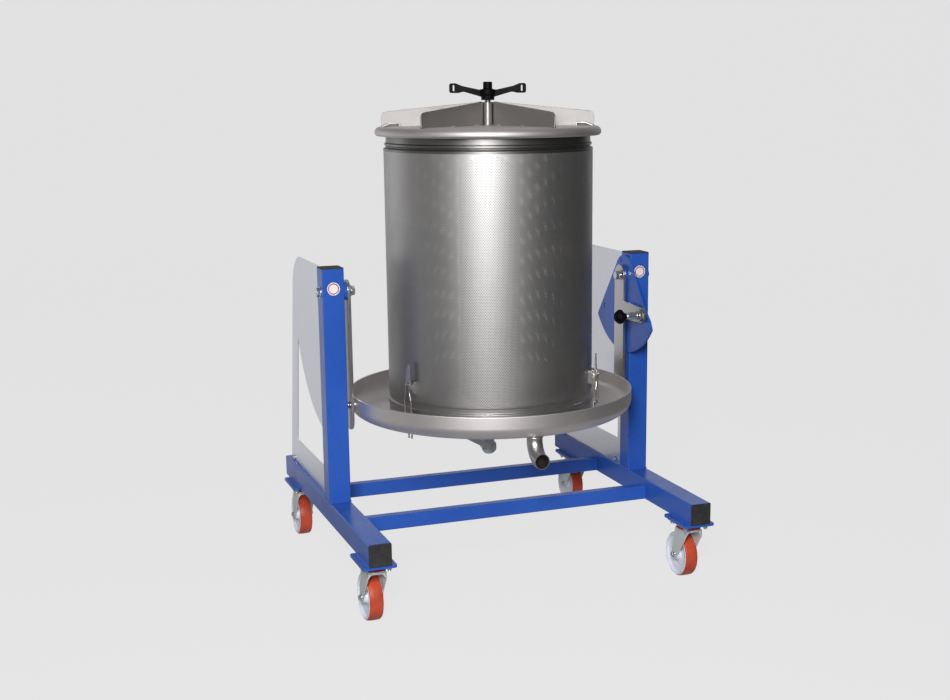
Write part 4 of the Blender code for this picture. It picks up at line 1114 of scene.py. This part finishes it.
def valve_lever():
    """A pressed lever with a rounded grip and two stiffening edges."""
    low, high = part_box("valve_lever")
    length = 0.100
    neck = [(-0.020, 0.0092), (-0.034, 0.0075)]
    loop = arc((0.0, 0.0), 0.012, -90.0, 90.0, 17) + neck + arc((-length, 0.0), 0.009, 90.0, 270.0, 17)
    loop += [(x, -y) for x, y in neck[::-1]]
    shapes = [plate([loop, circle(0.0065, count=24)], high.y - low.y, 0.0006)]
    for y in (-0.0074, 0.0074):
        shapes.append(sweep(along((-length - 0.004, y, 0.0), (-length * 0.42, y, 0.0), 0.003), 0.0018, 10))
    pivot = at(*JOINTS["water_valve_turn"]["pos_m"])
    piece("water_valve_handle", shapes, "zinc", "water_valve", "valve_lever",
          pivot @ turn(30.0, "Y") @ ON_EDGE)


for side, sign in SIDES.items():
    arm(side, sign)
index_plunger()
drip_tray()
for name in LATCHES:
    latch_catch(name)
spout()
water_inlet()
valve_lever()


# ================================================================ basket, membrane, tie rod
NECK_RADIUS = 0.2800
SHEET_LOW, SHEET_HIGH = 0.5150, BASKET_HIGH.z - 0.0500
HOLES_ROUND = 280                        # holes in one row right round the basket
ROW_PITCH = 0.00382                      # height between two rows, rounded so that whole rows fit
HOLE_RADIUS = 0.00125
HOLE_SIDES = 6
SHEET_COUNT = 5                          # rolled sheets, butted side by side
SHEET_SKIN = 0.0015                      # thickness of the punched sheet


def punched_skin(start, radius, inward):
    """One face of a punched sheet: corners between staggered holes, then each hole's own ring."""
    columns = HOLES_ROUND // SHEET_COUNT
    half_pitch = math.pi / HOLES_ROUND
    rows = int((SHEET_HIGH - SHEET_LOW) / ROW_PITCH)
    rise = (SHEET_HIGH - SHEET_LOW) / rows
    index = {(u, v): u * (rows + 1) + v for u in range(2 * columns + 1) for v in range(rows + 1)}
    corners = [(start + u * half_pitch, SHEET_LOW + v * rise) for u, v in index]
    holes = [(u, v) for v in range(1, rows) for u in range(1 + v % 2, 2 * columns, 2)]
    angles = np.array([TAU * k / HOLE_SIDES for k in range(HOLE_SIDES)])
    centre = np.array([corners[index[hole]] for hole in holes])
    ring_u = centre[:, :1] + HOLE_RADIUS / BASKET_RADIUS * np.cos(angles)
    ring_v = centre[:, 1:] + HOLE_RADIUS * np.sin(angles)
    flat = np.concatenate([np.array(corners), np.stack([ring_u, ring_v], -1).reshape(-1, 2)])
    angle, height = flat[:, 0], flat[:, 1]
    verts = np.stack([AXIS.x + radius * np.cos(angle), AXIS.y + radius * np.sin(angle), height], -1)

    rim = len(corners) + HOLE_SIDES * np.arange(len(holes))[:, None] + np.arange(HOLE_SIDES)
    east, north, west, south = (np.array([[index[u + du, v + dv]] for u, v in holes])
                                for du, dv in ((1, 0), (0, 1), (-1, 0), (0, -1)))
    sides = ((east, north, 1, 0), (north, west, 3, 2), (west, south, 4, 3), (south, east, 0, 5))
    quads = np.vstack([np.hstack([one, two, rim[:, j:j + 1], rim[:, k:k + 1]]) for one, two, j, k in sides])
    last = 2 * columns
    sides = [(index[0, v], index[1, v + 1], index[0, v + 2]) for v in range(0, rows - 1, 2)]
    sides += [(index[last, v], index[last, v + 2], index[last - 1, v + 1]) for v in range(0, rows - 1, 2)]
    triangles = np.vstack([np.hstack([north, rim[:, 2:3], rim[:, 1:2]]),
                           np.hstack([south, rim[:, 5:], rim[:, 4:5]]), np.array(sides)])
    return (verts, quads[:, ::-1], triangles[:, ::-1]) if inward else (verts, quads, triangles)


def punched_sheet(number):
    """A rolled sheet with a staggered round hole for every cell, cut through both of its faces."""
    start = math.radians(90.0) + TAU * number / SHEET_COUNT
    outside = punched_skin(start, BASKET_RADIUS, False)
    inside = punched_skin(start, BASKET_RADIUS - SHEET_SKIN, True)
    verts = np.vstack([outside[0], inside[0]])
    quads, triangles = (np.vstack([outside[k], inside[k] + len(outside[0])]) for k in (1, 2))
    mesh = bpy.data.meshes.new("sheet")
    mesh.vertices.add(len(verts))
    mesh.vertices.foreach_set("co", verts.astype(np.float32).ravel())
    mesh.loops.add(quads.size + triangles.size)
    corners = np.concatenate([quads.ravel(), triangles.ravel()])
    mesh.loops.foreach_set("vertex_index", corners.astype(np.int32))
    mesh.polygons.add(len(quads) + len(triangles))
    starts = np.concatenate([np.arange(len(quads)) * 4, quads.size + np.arange(len(triangles)) * 3])
    mesh.polygons.foreach_set("loop_start", starts.astype(np.int32))
    mesh.update(calc_edges=True)
    mesh.validate()
    mesh.materials.append(MATERIALS["basket_steel"])
    mesh.shade_smooth()
    obj = linked(f"basket_sheet_{number + 1}", mesh)
    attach(obj, "press")


def basket():
    """Punched sheets between a plain skirt with a raised band and a plain neck with a bead."""
    low, high = 0.4965, 0.5175           # the raised band's middle and the skirt's top edge
    wall, foot, step = BASKET_RADIUS, BASKET_LOW.z + 0.0002, SHEET_HIGH
    inner, lap = wall - 0.0020, wall + 0.0003
    skirt = [(lap, SHEET_LOW + 0.0075, 0.0002), (lap, high, 0.0010), (wall - 0.0010, high - 0.0030, 0.0020),
             (wall - 0.0010, low + 0.0070, 0.0020), (wall + 0.0035, low + 0.0040, 0.0020),
             (wall + 0.0035, low - 0.0060, 0.0020), (wall, low - 0.0090, 0.0010), (wall, foot, 0.0005),
             (inner, foot, 0.0005), (inner, SHEET_LOW + 0.0060, 0.0003)]
    neck, top = NECK_RADIUS, BASKET_HIGH.z
    collar = [(neck, top, 0.0006), (neck, step + 0.0150, 0.0010), (neck + 0.0036, step + 0.0128, 0.0016),
              (neck + 0.0036, step + 0.0072, 0.0016), (neck, step + 0.0048, 0.0010),
              (neck, step + 0.0030, 0.0012),
              (lap, step - 0.0010, 0.0020), (lap, step - 0.0075, 0.0002), (inner, step - 0.0060, 0.0002),
              (inner, step - 0.0020, 0.0020), (neck - 0.0020, step + 0.0020, 0.0012),
              (neck - 0.0020, top, 0.0006)]
    piece("basket_foot_ring", turned(skirt, 256), "turned_steel", "press", "basket", ON_AXIS)
    # the neck ring takes the dark steel as painted shade under the lid's rim
    piece("basket_neck_ring", turned(collar, 256), "painted_shade_steel", "press", place=ON_AXIS)
    for number in range(SHEET_COUNT):
        punched_sheet(number)
    x, y = AXIS.x, AXIS.y + wall
    seam = bead(along((x, y, SHEET_LOW + 0.002), (x, y, SHEET_HIGH - 0.002), 0.0030), 0.0016, 3)
    piece("basket_seam", seam, "basket_steel", "press")


def latch_ears(name):
    """Two ears with the latch's hinge pin between them, welded to the basket."""
    wall = BASKET_RADIUS
    stand = (LATCHES[name].xy - AXIS.xy).length
    ear = rounded(flipped([(wall - 0.0015, -0.0170), (wall + 0.0090, -0.0170, 0.006),
                           (wall + 0.0175, -0.0070, 0.006)]), True, 5)
    shapes = [sweep([(stand, -0.014, 0.0), (stand, 0.014, 0.0)], 0.0020, 16)]
    for side in (-1.0, 1.0):
        shapes.append(moved(strip(ear, 0.003, 0.0006), at(y=side * 0.0125)))
        shapes.append(bead([(wall + 0.0006, side * 0.0147, h) for h in np.linspace(-0.016, 0.016, 26)],
                           0.0017))
        shapes.append(moved(disc(0.0042, 0.0016, 0.0006, 32),
                            at(stand, side * 0.0138) @ turn(-90.0 * side, "X")))
    piece(f"{name}_latch_ears", shapes, "small_steel", "press",
          place=about_basket(latch_angle(name)) @ at(z=LATCHES[name].z))


def membrane():
    """The rubber bladder with faint moulded hoops, necked in and clamped at both ends."""
    low, high = (corner.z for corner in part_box("membrane"))
    body, neck, foot, thick = 0.0850, 0.0300, 0.0470, 0.004
    outline = [(neck, high, 0.001), (neck, high - 0.010, 0.004), (body, high - 0.046, 0.018)]
    for z in np.arange(high - 0.080, low + 0.070, -0.030):
        outline += [(body, z, 0.002), (body - 0.0012, z - 0.004, 0.002), (body, z - 0.008, 0.002)]
    outline += [(body, low + 0.046, 0.018), (foot, low + 0.010, 0.004), (foot, low, 0.001)]
    inside = [(foot - thick, low), (foot - thick, low + 0.012), (body - thick, low + 0.048),
              (body - thick, high - 0.048), (neck - thick, high - 0.012), (neck - thick, high)]
    piece("membrane_bladder", turned(outline + inside, 96), "rubber", "press", "membrane", ON_AXIS)
    clamps = [moved(ring(radius + 0.0012, radius - 0.0002, 0.0065, 0.0004), at(z=z))
              for z, radius in ((high - 0.0085, neck), (low + 0.0030, foot))]
    piece("membrane_clamps", clamps, "small_steel", "press", place=ON_AXIS)


def tie_rod():
    """A round rod on a foot disc, threaded above its shoulder for the handle."""
    low, high = (corner.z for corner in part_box("tie_rod"))
    shoulder, radius, foot = 1.250, 0.0120, 0.040
    body = spun([(0.0, shoulder), (radius, shoulder, 0.0012), (radius, low + 0.006, 0.002),
                 (foot, low + 0.006, 0.001), (foot, low, 0.001), (0.0, low)])
    screw = thread(0.0080, 0.0010, 0.0020, shoulder - 0.004, high - 0.001, 32)
    tip = moved(disc(0.0066, 0.0020, 0.0008), at(z=high - 0.0020))
    piece("centre_rod", [body, screw, tip], "small_steel", "press", "tie_rod", ON_AXIS)


basket()
for name in LATCHES:
    latch_ears(name)
membrane()
tie_rod()


# ================================================================ lid, stiffeners and screw handle
LID_RADIUS = (LID_HIGH.x - LID_LOW.x) / 2
OPEN_SIDE = 249.8                        # direction, about +Z, of the gap between two stiffeners
RIB_REACH = 0.290                        # from the axis to a stiffener's tip
RIB_SPREAD = 23.5                        # half of the angle between a stiffener's two legs
LUG_TURN = 76.5                          # degrees from the gap to each lug
RIB_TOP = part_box("lid_ribs")[1].z
RIB_END_TOP = 1.286                      # height of a stiffener's top edge at its tip


def lid():
    """A spun lid: flat top, full round shoulder, and a lip that turns in under it."""
    edge, corner, wall = LID_RADIUS, 0.0150, 0.0025
    top, low = LID_HIGH.z, LID_LOW.z
    shoulder, flat = (edge - corner, top - 0.0015 - corner), edge - corner - 0.030
    outer = [(ROD_HOLE, top), (flat, top)] + arc(shoulder, corner, 88.0, -18.0, 20)
    outer += [(edge - 0.0034, low + 0.0022), (edge - 0.0052, low)]
    inner = [(edge - 0.0080, low + 0.0004), (edge - 0.0062, low + 0.0034)]
    inner += arc(shoulder, corner - wall - 0.0006, -10.0, 88.0, 15)
    inner += [(flat, top - wall), (ROD_HOLE, top - wall)]
    piece("lid_shell", lathe(outer + inner, 224, closed=True), "lid_steel", "lid_assembly", "lid", ON_AXIS)


def rib_top(radius):
    """Height of a stiffener's top edge: a straight slope, then a rounded outer corner."""
    corner = 0.012
    slope = RIB_TOP + (RIB_END_TOP - RIB_TOP) * max(0.0, radius - 0.020) / (RIB_REACH - 0.020)
    past = radius - (RIB_REACH - corner)
    if past > 0.0:
        slope -= corner - math.sqrt(max(0.0, corner ** 2 - past ** 2))
    return slope


def stiffener():
    """One sheet bent to a V in plan, its bend beside the rod and its legs out to the lid's edge."""
    step, thick, ease = 0.006, 0.003, 0.0006
    half = math.radians(RIB_SPREAD)
    x, y = RIB_REACH * math.cos(half), RIB_REACH * math.sin(half)
    path = [Vector(p) for p in rounded([(x, y), (0.0130, 0.0, 0.0050), (x, -y)], False, 13)]
    fine = []
    for start, end in zip(path, path[1:]):
        count = max(1, int((end - start).length / step))
        fine += [start.lerp(end, i / count) for i in range(count)]
    fine.append(path[-1])
    near = [d / step for d in (0.0005, 0.0015, 0.0030)]
    fine = ([fine[0]] + [fine[0].lerp(fine[1], d) for d in near] + fine[1:-1]
            + [fine[-1].lerp(fine[-2], d) for d in near[::-1]] + [fine[-1]])
    low, last = LID_HIGH.z + GAP, len(fine) - 1
    sections = []
    for i, here in enumerate(fine):
        heading = (fine[min(last, i + 1)] - fine[max(0, i - 1)]).normalized()
        side = Vector((-heading.y, heading.x)) * thick / 2 * (0.6 if i in (0, last) else 1.0)
        inset = side * (1 - 2 * ease / thick)
        top = rib_top(here.length)
        sections.append([(*(here + side), low), (*(here + side), top - ease), (*(here + inset), top),
                         (*(here - inset), top), (*(here - side), top - ease), (*(here - side), low)])
    return loft(sections)


def lid_ribs():
    """Three bent stiffeners tacked to the lid round a sleeve for the rod."""
    low = LID_HIGH.z
    sleeve = [ring(0.0165, ROD_HOLE, RIB_TOP - 0.0020 - low, 0.0006), ring(0.0215, ROD_HOLE, 0.0030, 0.0006)]
    # the sleeve takes the dark steel as painted shade in the gap between the stiffeners
    piece("lid_sleeve", sleeve, "painted_shade_steel", "lid_assembly", place=ON_AXIS @ at(z=low))
    shapes, tacks = [], []
    for heading in (OPEN_SIDE + 60.0 + 120.0 * i for i in range(3)):
        shapes.append(moved(stiffener(), about_basket(heading)))
        for leg in (-RIB_SPREAD, RIB_SPREAD):
            for radius in (0.045, 0.150, 0.284):
                for side in (-0.0024, 0.0024):
                    line = [(radius + d, side, low + 0.0006) for d in np.linspace(-0.005, 0.005, 9)]
                    tacks.append(moved(bead(line, 0.0026), about_basket(heading + leg)))
    piece("lid_stiffeners", shapes, "rib_steel", "lid_assembly", "lid_ribs")
    piece("lid_tacks", tacks, "small_steel", "lid_assembly")


def lid_lugs():
    """Two small bent lugs on the lid's edge, one at each side of the stiffeners."""
    low = LID_HIGH.z + 0.0001
    line = rounded([(0.246, low), (0.246, low + 0.0095, 0.0020), (0.272, low + 0.0100, 0.004),
                    (0.291, low + 0.0020, 0.004), (0.293, low), (0.289, low), (0.271, low + 0.0070, 0.004),
                    (0.2490, low + 0.0066, 0.0010), (0.2490, low)], True, 5)
    shapes = []
    for heading in (OPEN_SIDE - LUG_TURN, OPEN_SIDE + LUG_TURN):
        foot = bead([(0.2475, y, low + 0.0005) for y in np.linspace(-0.013, 0.013, 27)], 0.0016)
        shapes += [moved(shape, about_basket(heading)) for shape in (strip(line, 0.026), foot)]
    piece("lid_lugs", shapes, "turned_steel", "lid_assembly")


def lid_gasket():
    low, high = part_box("lid_gasket")
    outer, height, edge = (high.x - low.x) / 2, high.z - low.z, 0.0022
    inner = outer - 0.012
    section = [(outer, height, edge), (outer, 0.0, edge), (inner, 0.0, edge), (inner, height, edge)]
    piece("lid_seal", turned(section, 160, 6), "gasket", "lid_assembly", "lid_gasket", ON_AXIS @ at(z=low.z))


def handle():
    """The cast two-armed nut: a stepped hub, tapered arms, and block ends with a slot."""
    base, top = 1.316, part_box("handle")[1].z
    hub = [(0.0, top), (0.0105, top, 0.0012), (0.0125, top - 0.0022, 0.0012), (0.0125, top - 0.0188, 0.0020),
           (0.0215, top - 0.0208, 0.0030), (0.0215, top - 0.0330, 0.0030), (0.0180, top - 0.0372, 0.0020),
           (0.0180, base, 0.0010), (0.0090, base)]
    shapes = [spun(hub, 72)]
    side_view = rounded([(0.010, 1.3215), (0.024, 1.3265, 0.020), (0.066, 1.3385, 0.020),
                         (0.0800, 1.3350, 0.004),
                         (0.1008, 1.3350, 0.0022), (0.1045, 1.3385, 0.0026), (0.1045, 1.3575, 0.0026),
                         (0.1008, 1.3610, 0.0022), (0.0870, 1.3610, 0.006), (0.0700, 1.3540, 0.030),
                         (0.0240, 1.3440, 0.020), (0.010, 1.3440)], True, 7)
    slot = [(x + 0.09275, z + 1.3480) for x, z in rectangle(0.0045, 0.0160, 0.0018, 5)]
    for half_turn in (0.0, 180.0):
        shapes.append(moved(plate([side_view, slot], 0.014, 0.0018), turn(half_turn, "Z") @ ON_EDGE))
    piece("screw_handle", shapes, "cast_black", "lid_handle", "handle", about_basket(OPEN_SIDE - 90.0))


lid()
lid_ribs()
lid_lugs()
lid_gasket()
handle()


# ================================================================ latches
def latch_lever(name):
    """A pressed lever: a channel with two tapering cheeks, a rolled tip and the wire's seat."""
    pivot = LATCHES[name]
    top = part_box(f"{name}_latch_lever")[1].z - pivot.z
    face = rounded(mirrored([(0.0080, -0.0060, 0.002), (0.0092, 0.0180, 0.010),
                             (0.0058, top - 0.001, 0.002)]))
    cheek = rounded([(-0.0040, -0.0060, 0.003), (0.0056, -0.0060, 0.002), (0.0060, 0.0200, 0.006),
                     (0.0056, top - 0.010, 0.004), (0.0032, top - 0.004), (0.0032, 0.0200),
                     (-0.0040, 0.0060, 0.003)], True, 5)
    shapes = [moved(plate([face], 0.0016, 0.0004), at(0.0040) @ UPRIGHT),
              sweep([(0.0, -0.0105, 0.0), (0.0, 0.0105, 0.0)], 0.0034, 24),
              sweep([(0.0046, -0.0056, top - 0.0012), (0.0046, 0.0056, top - 0.0012)], 0.0018, 16),
              block((0.0060, 0.0125, 0.0068), (0.0071, 0.0, 0.0100), 0.0012)]
    for side in (-1.0, 1.0):
        lean = at(y=side * 0.0090, z=0.006) @ turn(3.2 * side, "X") @ at(z=-0.006)
        shapes.append(moved(strip(cheek, 0.0014, 0.0004), lean))
        shapes.append(moved(ring(0.0034, 0.0019, 0.0016, 0.0003, 24),
                            at(0.0080, side * 0.0072 - 0.0008, 0.0100) @ TO_Y))
    place = about_basket(latch_angle(name)) @ at((pivot.xy - AXIS.xy).length, 0.0, pivot.z)
    piece(f"{name}_latch_handle", shapes, "small_steel", f"{name}_latch", f"{name}_latch_lever", place)


def latch_bail(name):
    """The bent wire loop from the lever's seat down under the catch's lip."""
    joint = Vector(JOINTS[f"{name}_bail_swing"]["pos_m"])
    wire, half, neck = 0.0022, 0.0125, 0.0070
    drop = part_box(f"{name}_latch_bail")[0].z + wire - joint.z
    line = rounded(mirrored([(-0.0060, 0.0), (-neck, 0.0, 0.002), (-neck, -0.0200, 0.010),
                             (-half, -0.0420, 0.012), (-half, drop, 0.004)]), False, 7)
    place = about_basket(latch_angle(name)) @ at((joint.xy - AXIS.xy).length, 0.0, joint.z)
    piece(f"{name}_latch_wire", sweep([(0.0, a, b) for a, b in line], wire), "small_steel", f"{name}_bail",
          f"{name}_latch_bail", place)


for name in LATCHES:
    latch_lever(name)
    latch_bail(name)


# ================================================================ floor, light, camera
CAMERA_AT = (-1.3534, -3.7328, 1.3462)
YAW, PITCH, ROLL = 21.58, -11.876, -0.294
LENS, SENSOR = 53.385, 36.0
SHIFT = (-0.0512, 0.0366)


def floor():
    """A plain pale floor that runs into a backdrop, seen at full tone but dim in the metal."""
    run, bend, height, wide = 9.0, 4.0, 9.0, 14.0
    line = [(-8.0, 0.0), (run, 0.0)]
    line += arc((run, bend), bend, -90.0, 0.0, 24)[1:]
    line.append((run + bend, height))
    verts, faces = [], []
    for y, z in line:
        verts += [(-wide, y, z), (wide, y, z)]
    for i in range(len(line) - 1):
        faces.append((2 * i, 2 * i + 1, 2 * i + 3, 2 * i + 2))
    sheet = mesh_object(verts, faces, "studio_floor")
    sheet.matrix_world = turn(-YAW, "Z")
    sheet.data.shade_smooth()
    look = Look("studio_paper")
    here = look.place()
    grain = look.fit(look.noise(here, 900.0, 2.0), 0.3, 0.7, 0.985, 1.0)
    tone = look.mix(grain, (0.0, 0.0, 0.0), (0.05, 0.05, 0.05))
    paper = look.add("BsdfDiffuse", {"Color": tone}).outputs[0]
    glow = look.add("Emission", {"Color": (1.0, 1.0, 1.0, 1.0), "Strength": 0.745}).outputs[0]
    shown = look.add("AddShader", {0: paper, 1: glow}).outputs[0]
    spot = look.add("SeparateXYZ", {"Vector": look.add("NewGeometry", {}).outputs["Position"]}).outputs
    reach = look.distance(spot[0], spot[1])
    near = look.fit(reach, 0.9, 2.2, 0.45, 0.0)
    behind = look.fit(look.maths("SUBTRACT", spot[1], look.times(spot[0], 0.5)), 0.3, 1.8)
    bright = look.maths("MAXIMUM", near, behind)
    bounce = look.add("Emission", {"Color": (1.0, 1.0, 1.0, 1.0),
                                   "Strength": look.fit(bright, 0.0, 1.0, 0.03, 0.62)}).outputs[0]
    seen = look.add("LightPath", {}).outputs["Is Camera Ray"]
    surface = look.add("MixShader", {0: seen, 1: bounce, 2: shown}).outputs[0]
    look.links.new(surface, look.nodes["Material Output"].inputs["Surface"])
    sheet.data.materials.append(look.material)


def softbox(name, location, target, size, power, colour=(1.0, 1.0, 1.0)):
    lamp = bpy.data.lights.new(name, "AREA")
    lamp.shape = "RECTANGLE"
    lamp.size, lamp.size_y = size
    lamp.energy = power
    lamp.color = colour
    obj = linked(name, lamp)
    obj.location = location
    obj.rotation_euler = (Vector(target) - Vector(location)).to_track_quat("-Z", "Y").to_euler()


def world():
    """Even, dim studio air, a little brighter overhead."""
    air = bpy.data.worlds.new("studio_air")
    air.use_nodes = True
    nodes, links = air.node_tree.nodes, air.node_tree.links
    background = nodes["Background"]
    direction = nodes.new("ShaderNodeTexCoord")
    split = nodes.new("ShaderNodeSeparateXYZ")
    ramp = nodes.new("ShaderNodeMapRange")
    ramp.inputs["From Min"].default_value = -0.3
    ramp.inputs["To Min"].default_value = 0.05
    ramp.inputs["To Max"].default_value = 0.13
    links.new(direction.outputs["Generated"], split.inputs[0])
    links.new(split.outputs["Z"], ramp.inputs["Value"])
    links.new(ramp.outputs[0], background.inputs["Color"])
    bpy.context.scene.world = air


def camera():
    data = bpy.data.cameras.new("camera")
    data.lens, data.sensor_width = LENS, SENSOR
    data.shift_x, data.shift_y = SHIFT
    obj = linked("camera", data)
    obj.matrix_world = at(*CAMERA_AT) @ turn(-YAW, "Z") @ turn(90 + PITCH, "X") @ turn(ROLL, "Z")
    bpy.context.scene.camera = obj


floor()
world()
camera()
TARGET = (0.0, 0.0, 0.80)
softbox("key", (-1.55, -3.60, 2.05), TARGET, (0.8, 1.4), 170.0)
softbox("left_fill", (-3.2, 3.2, 1.5), TARGET, (1.6, 2.4), 17.0, (0.97, 0.98, 1.0))
softbox("top", (0.2, 0.8, 3.6), (0.0, 0.0, 0.6), (2.2, 2.2), 8.0)
bpy.context.scene.view_settings.view_transform = "Standard"
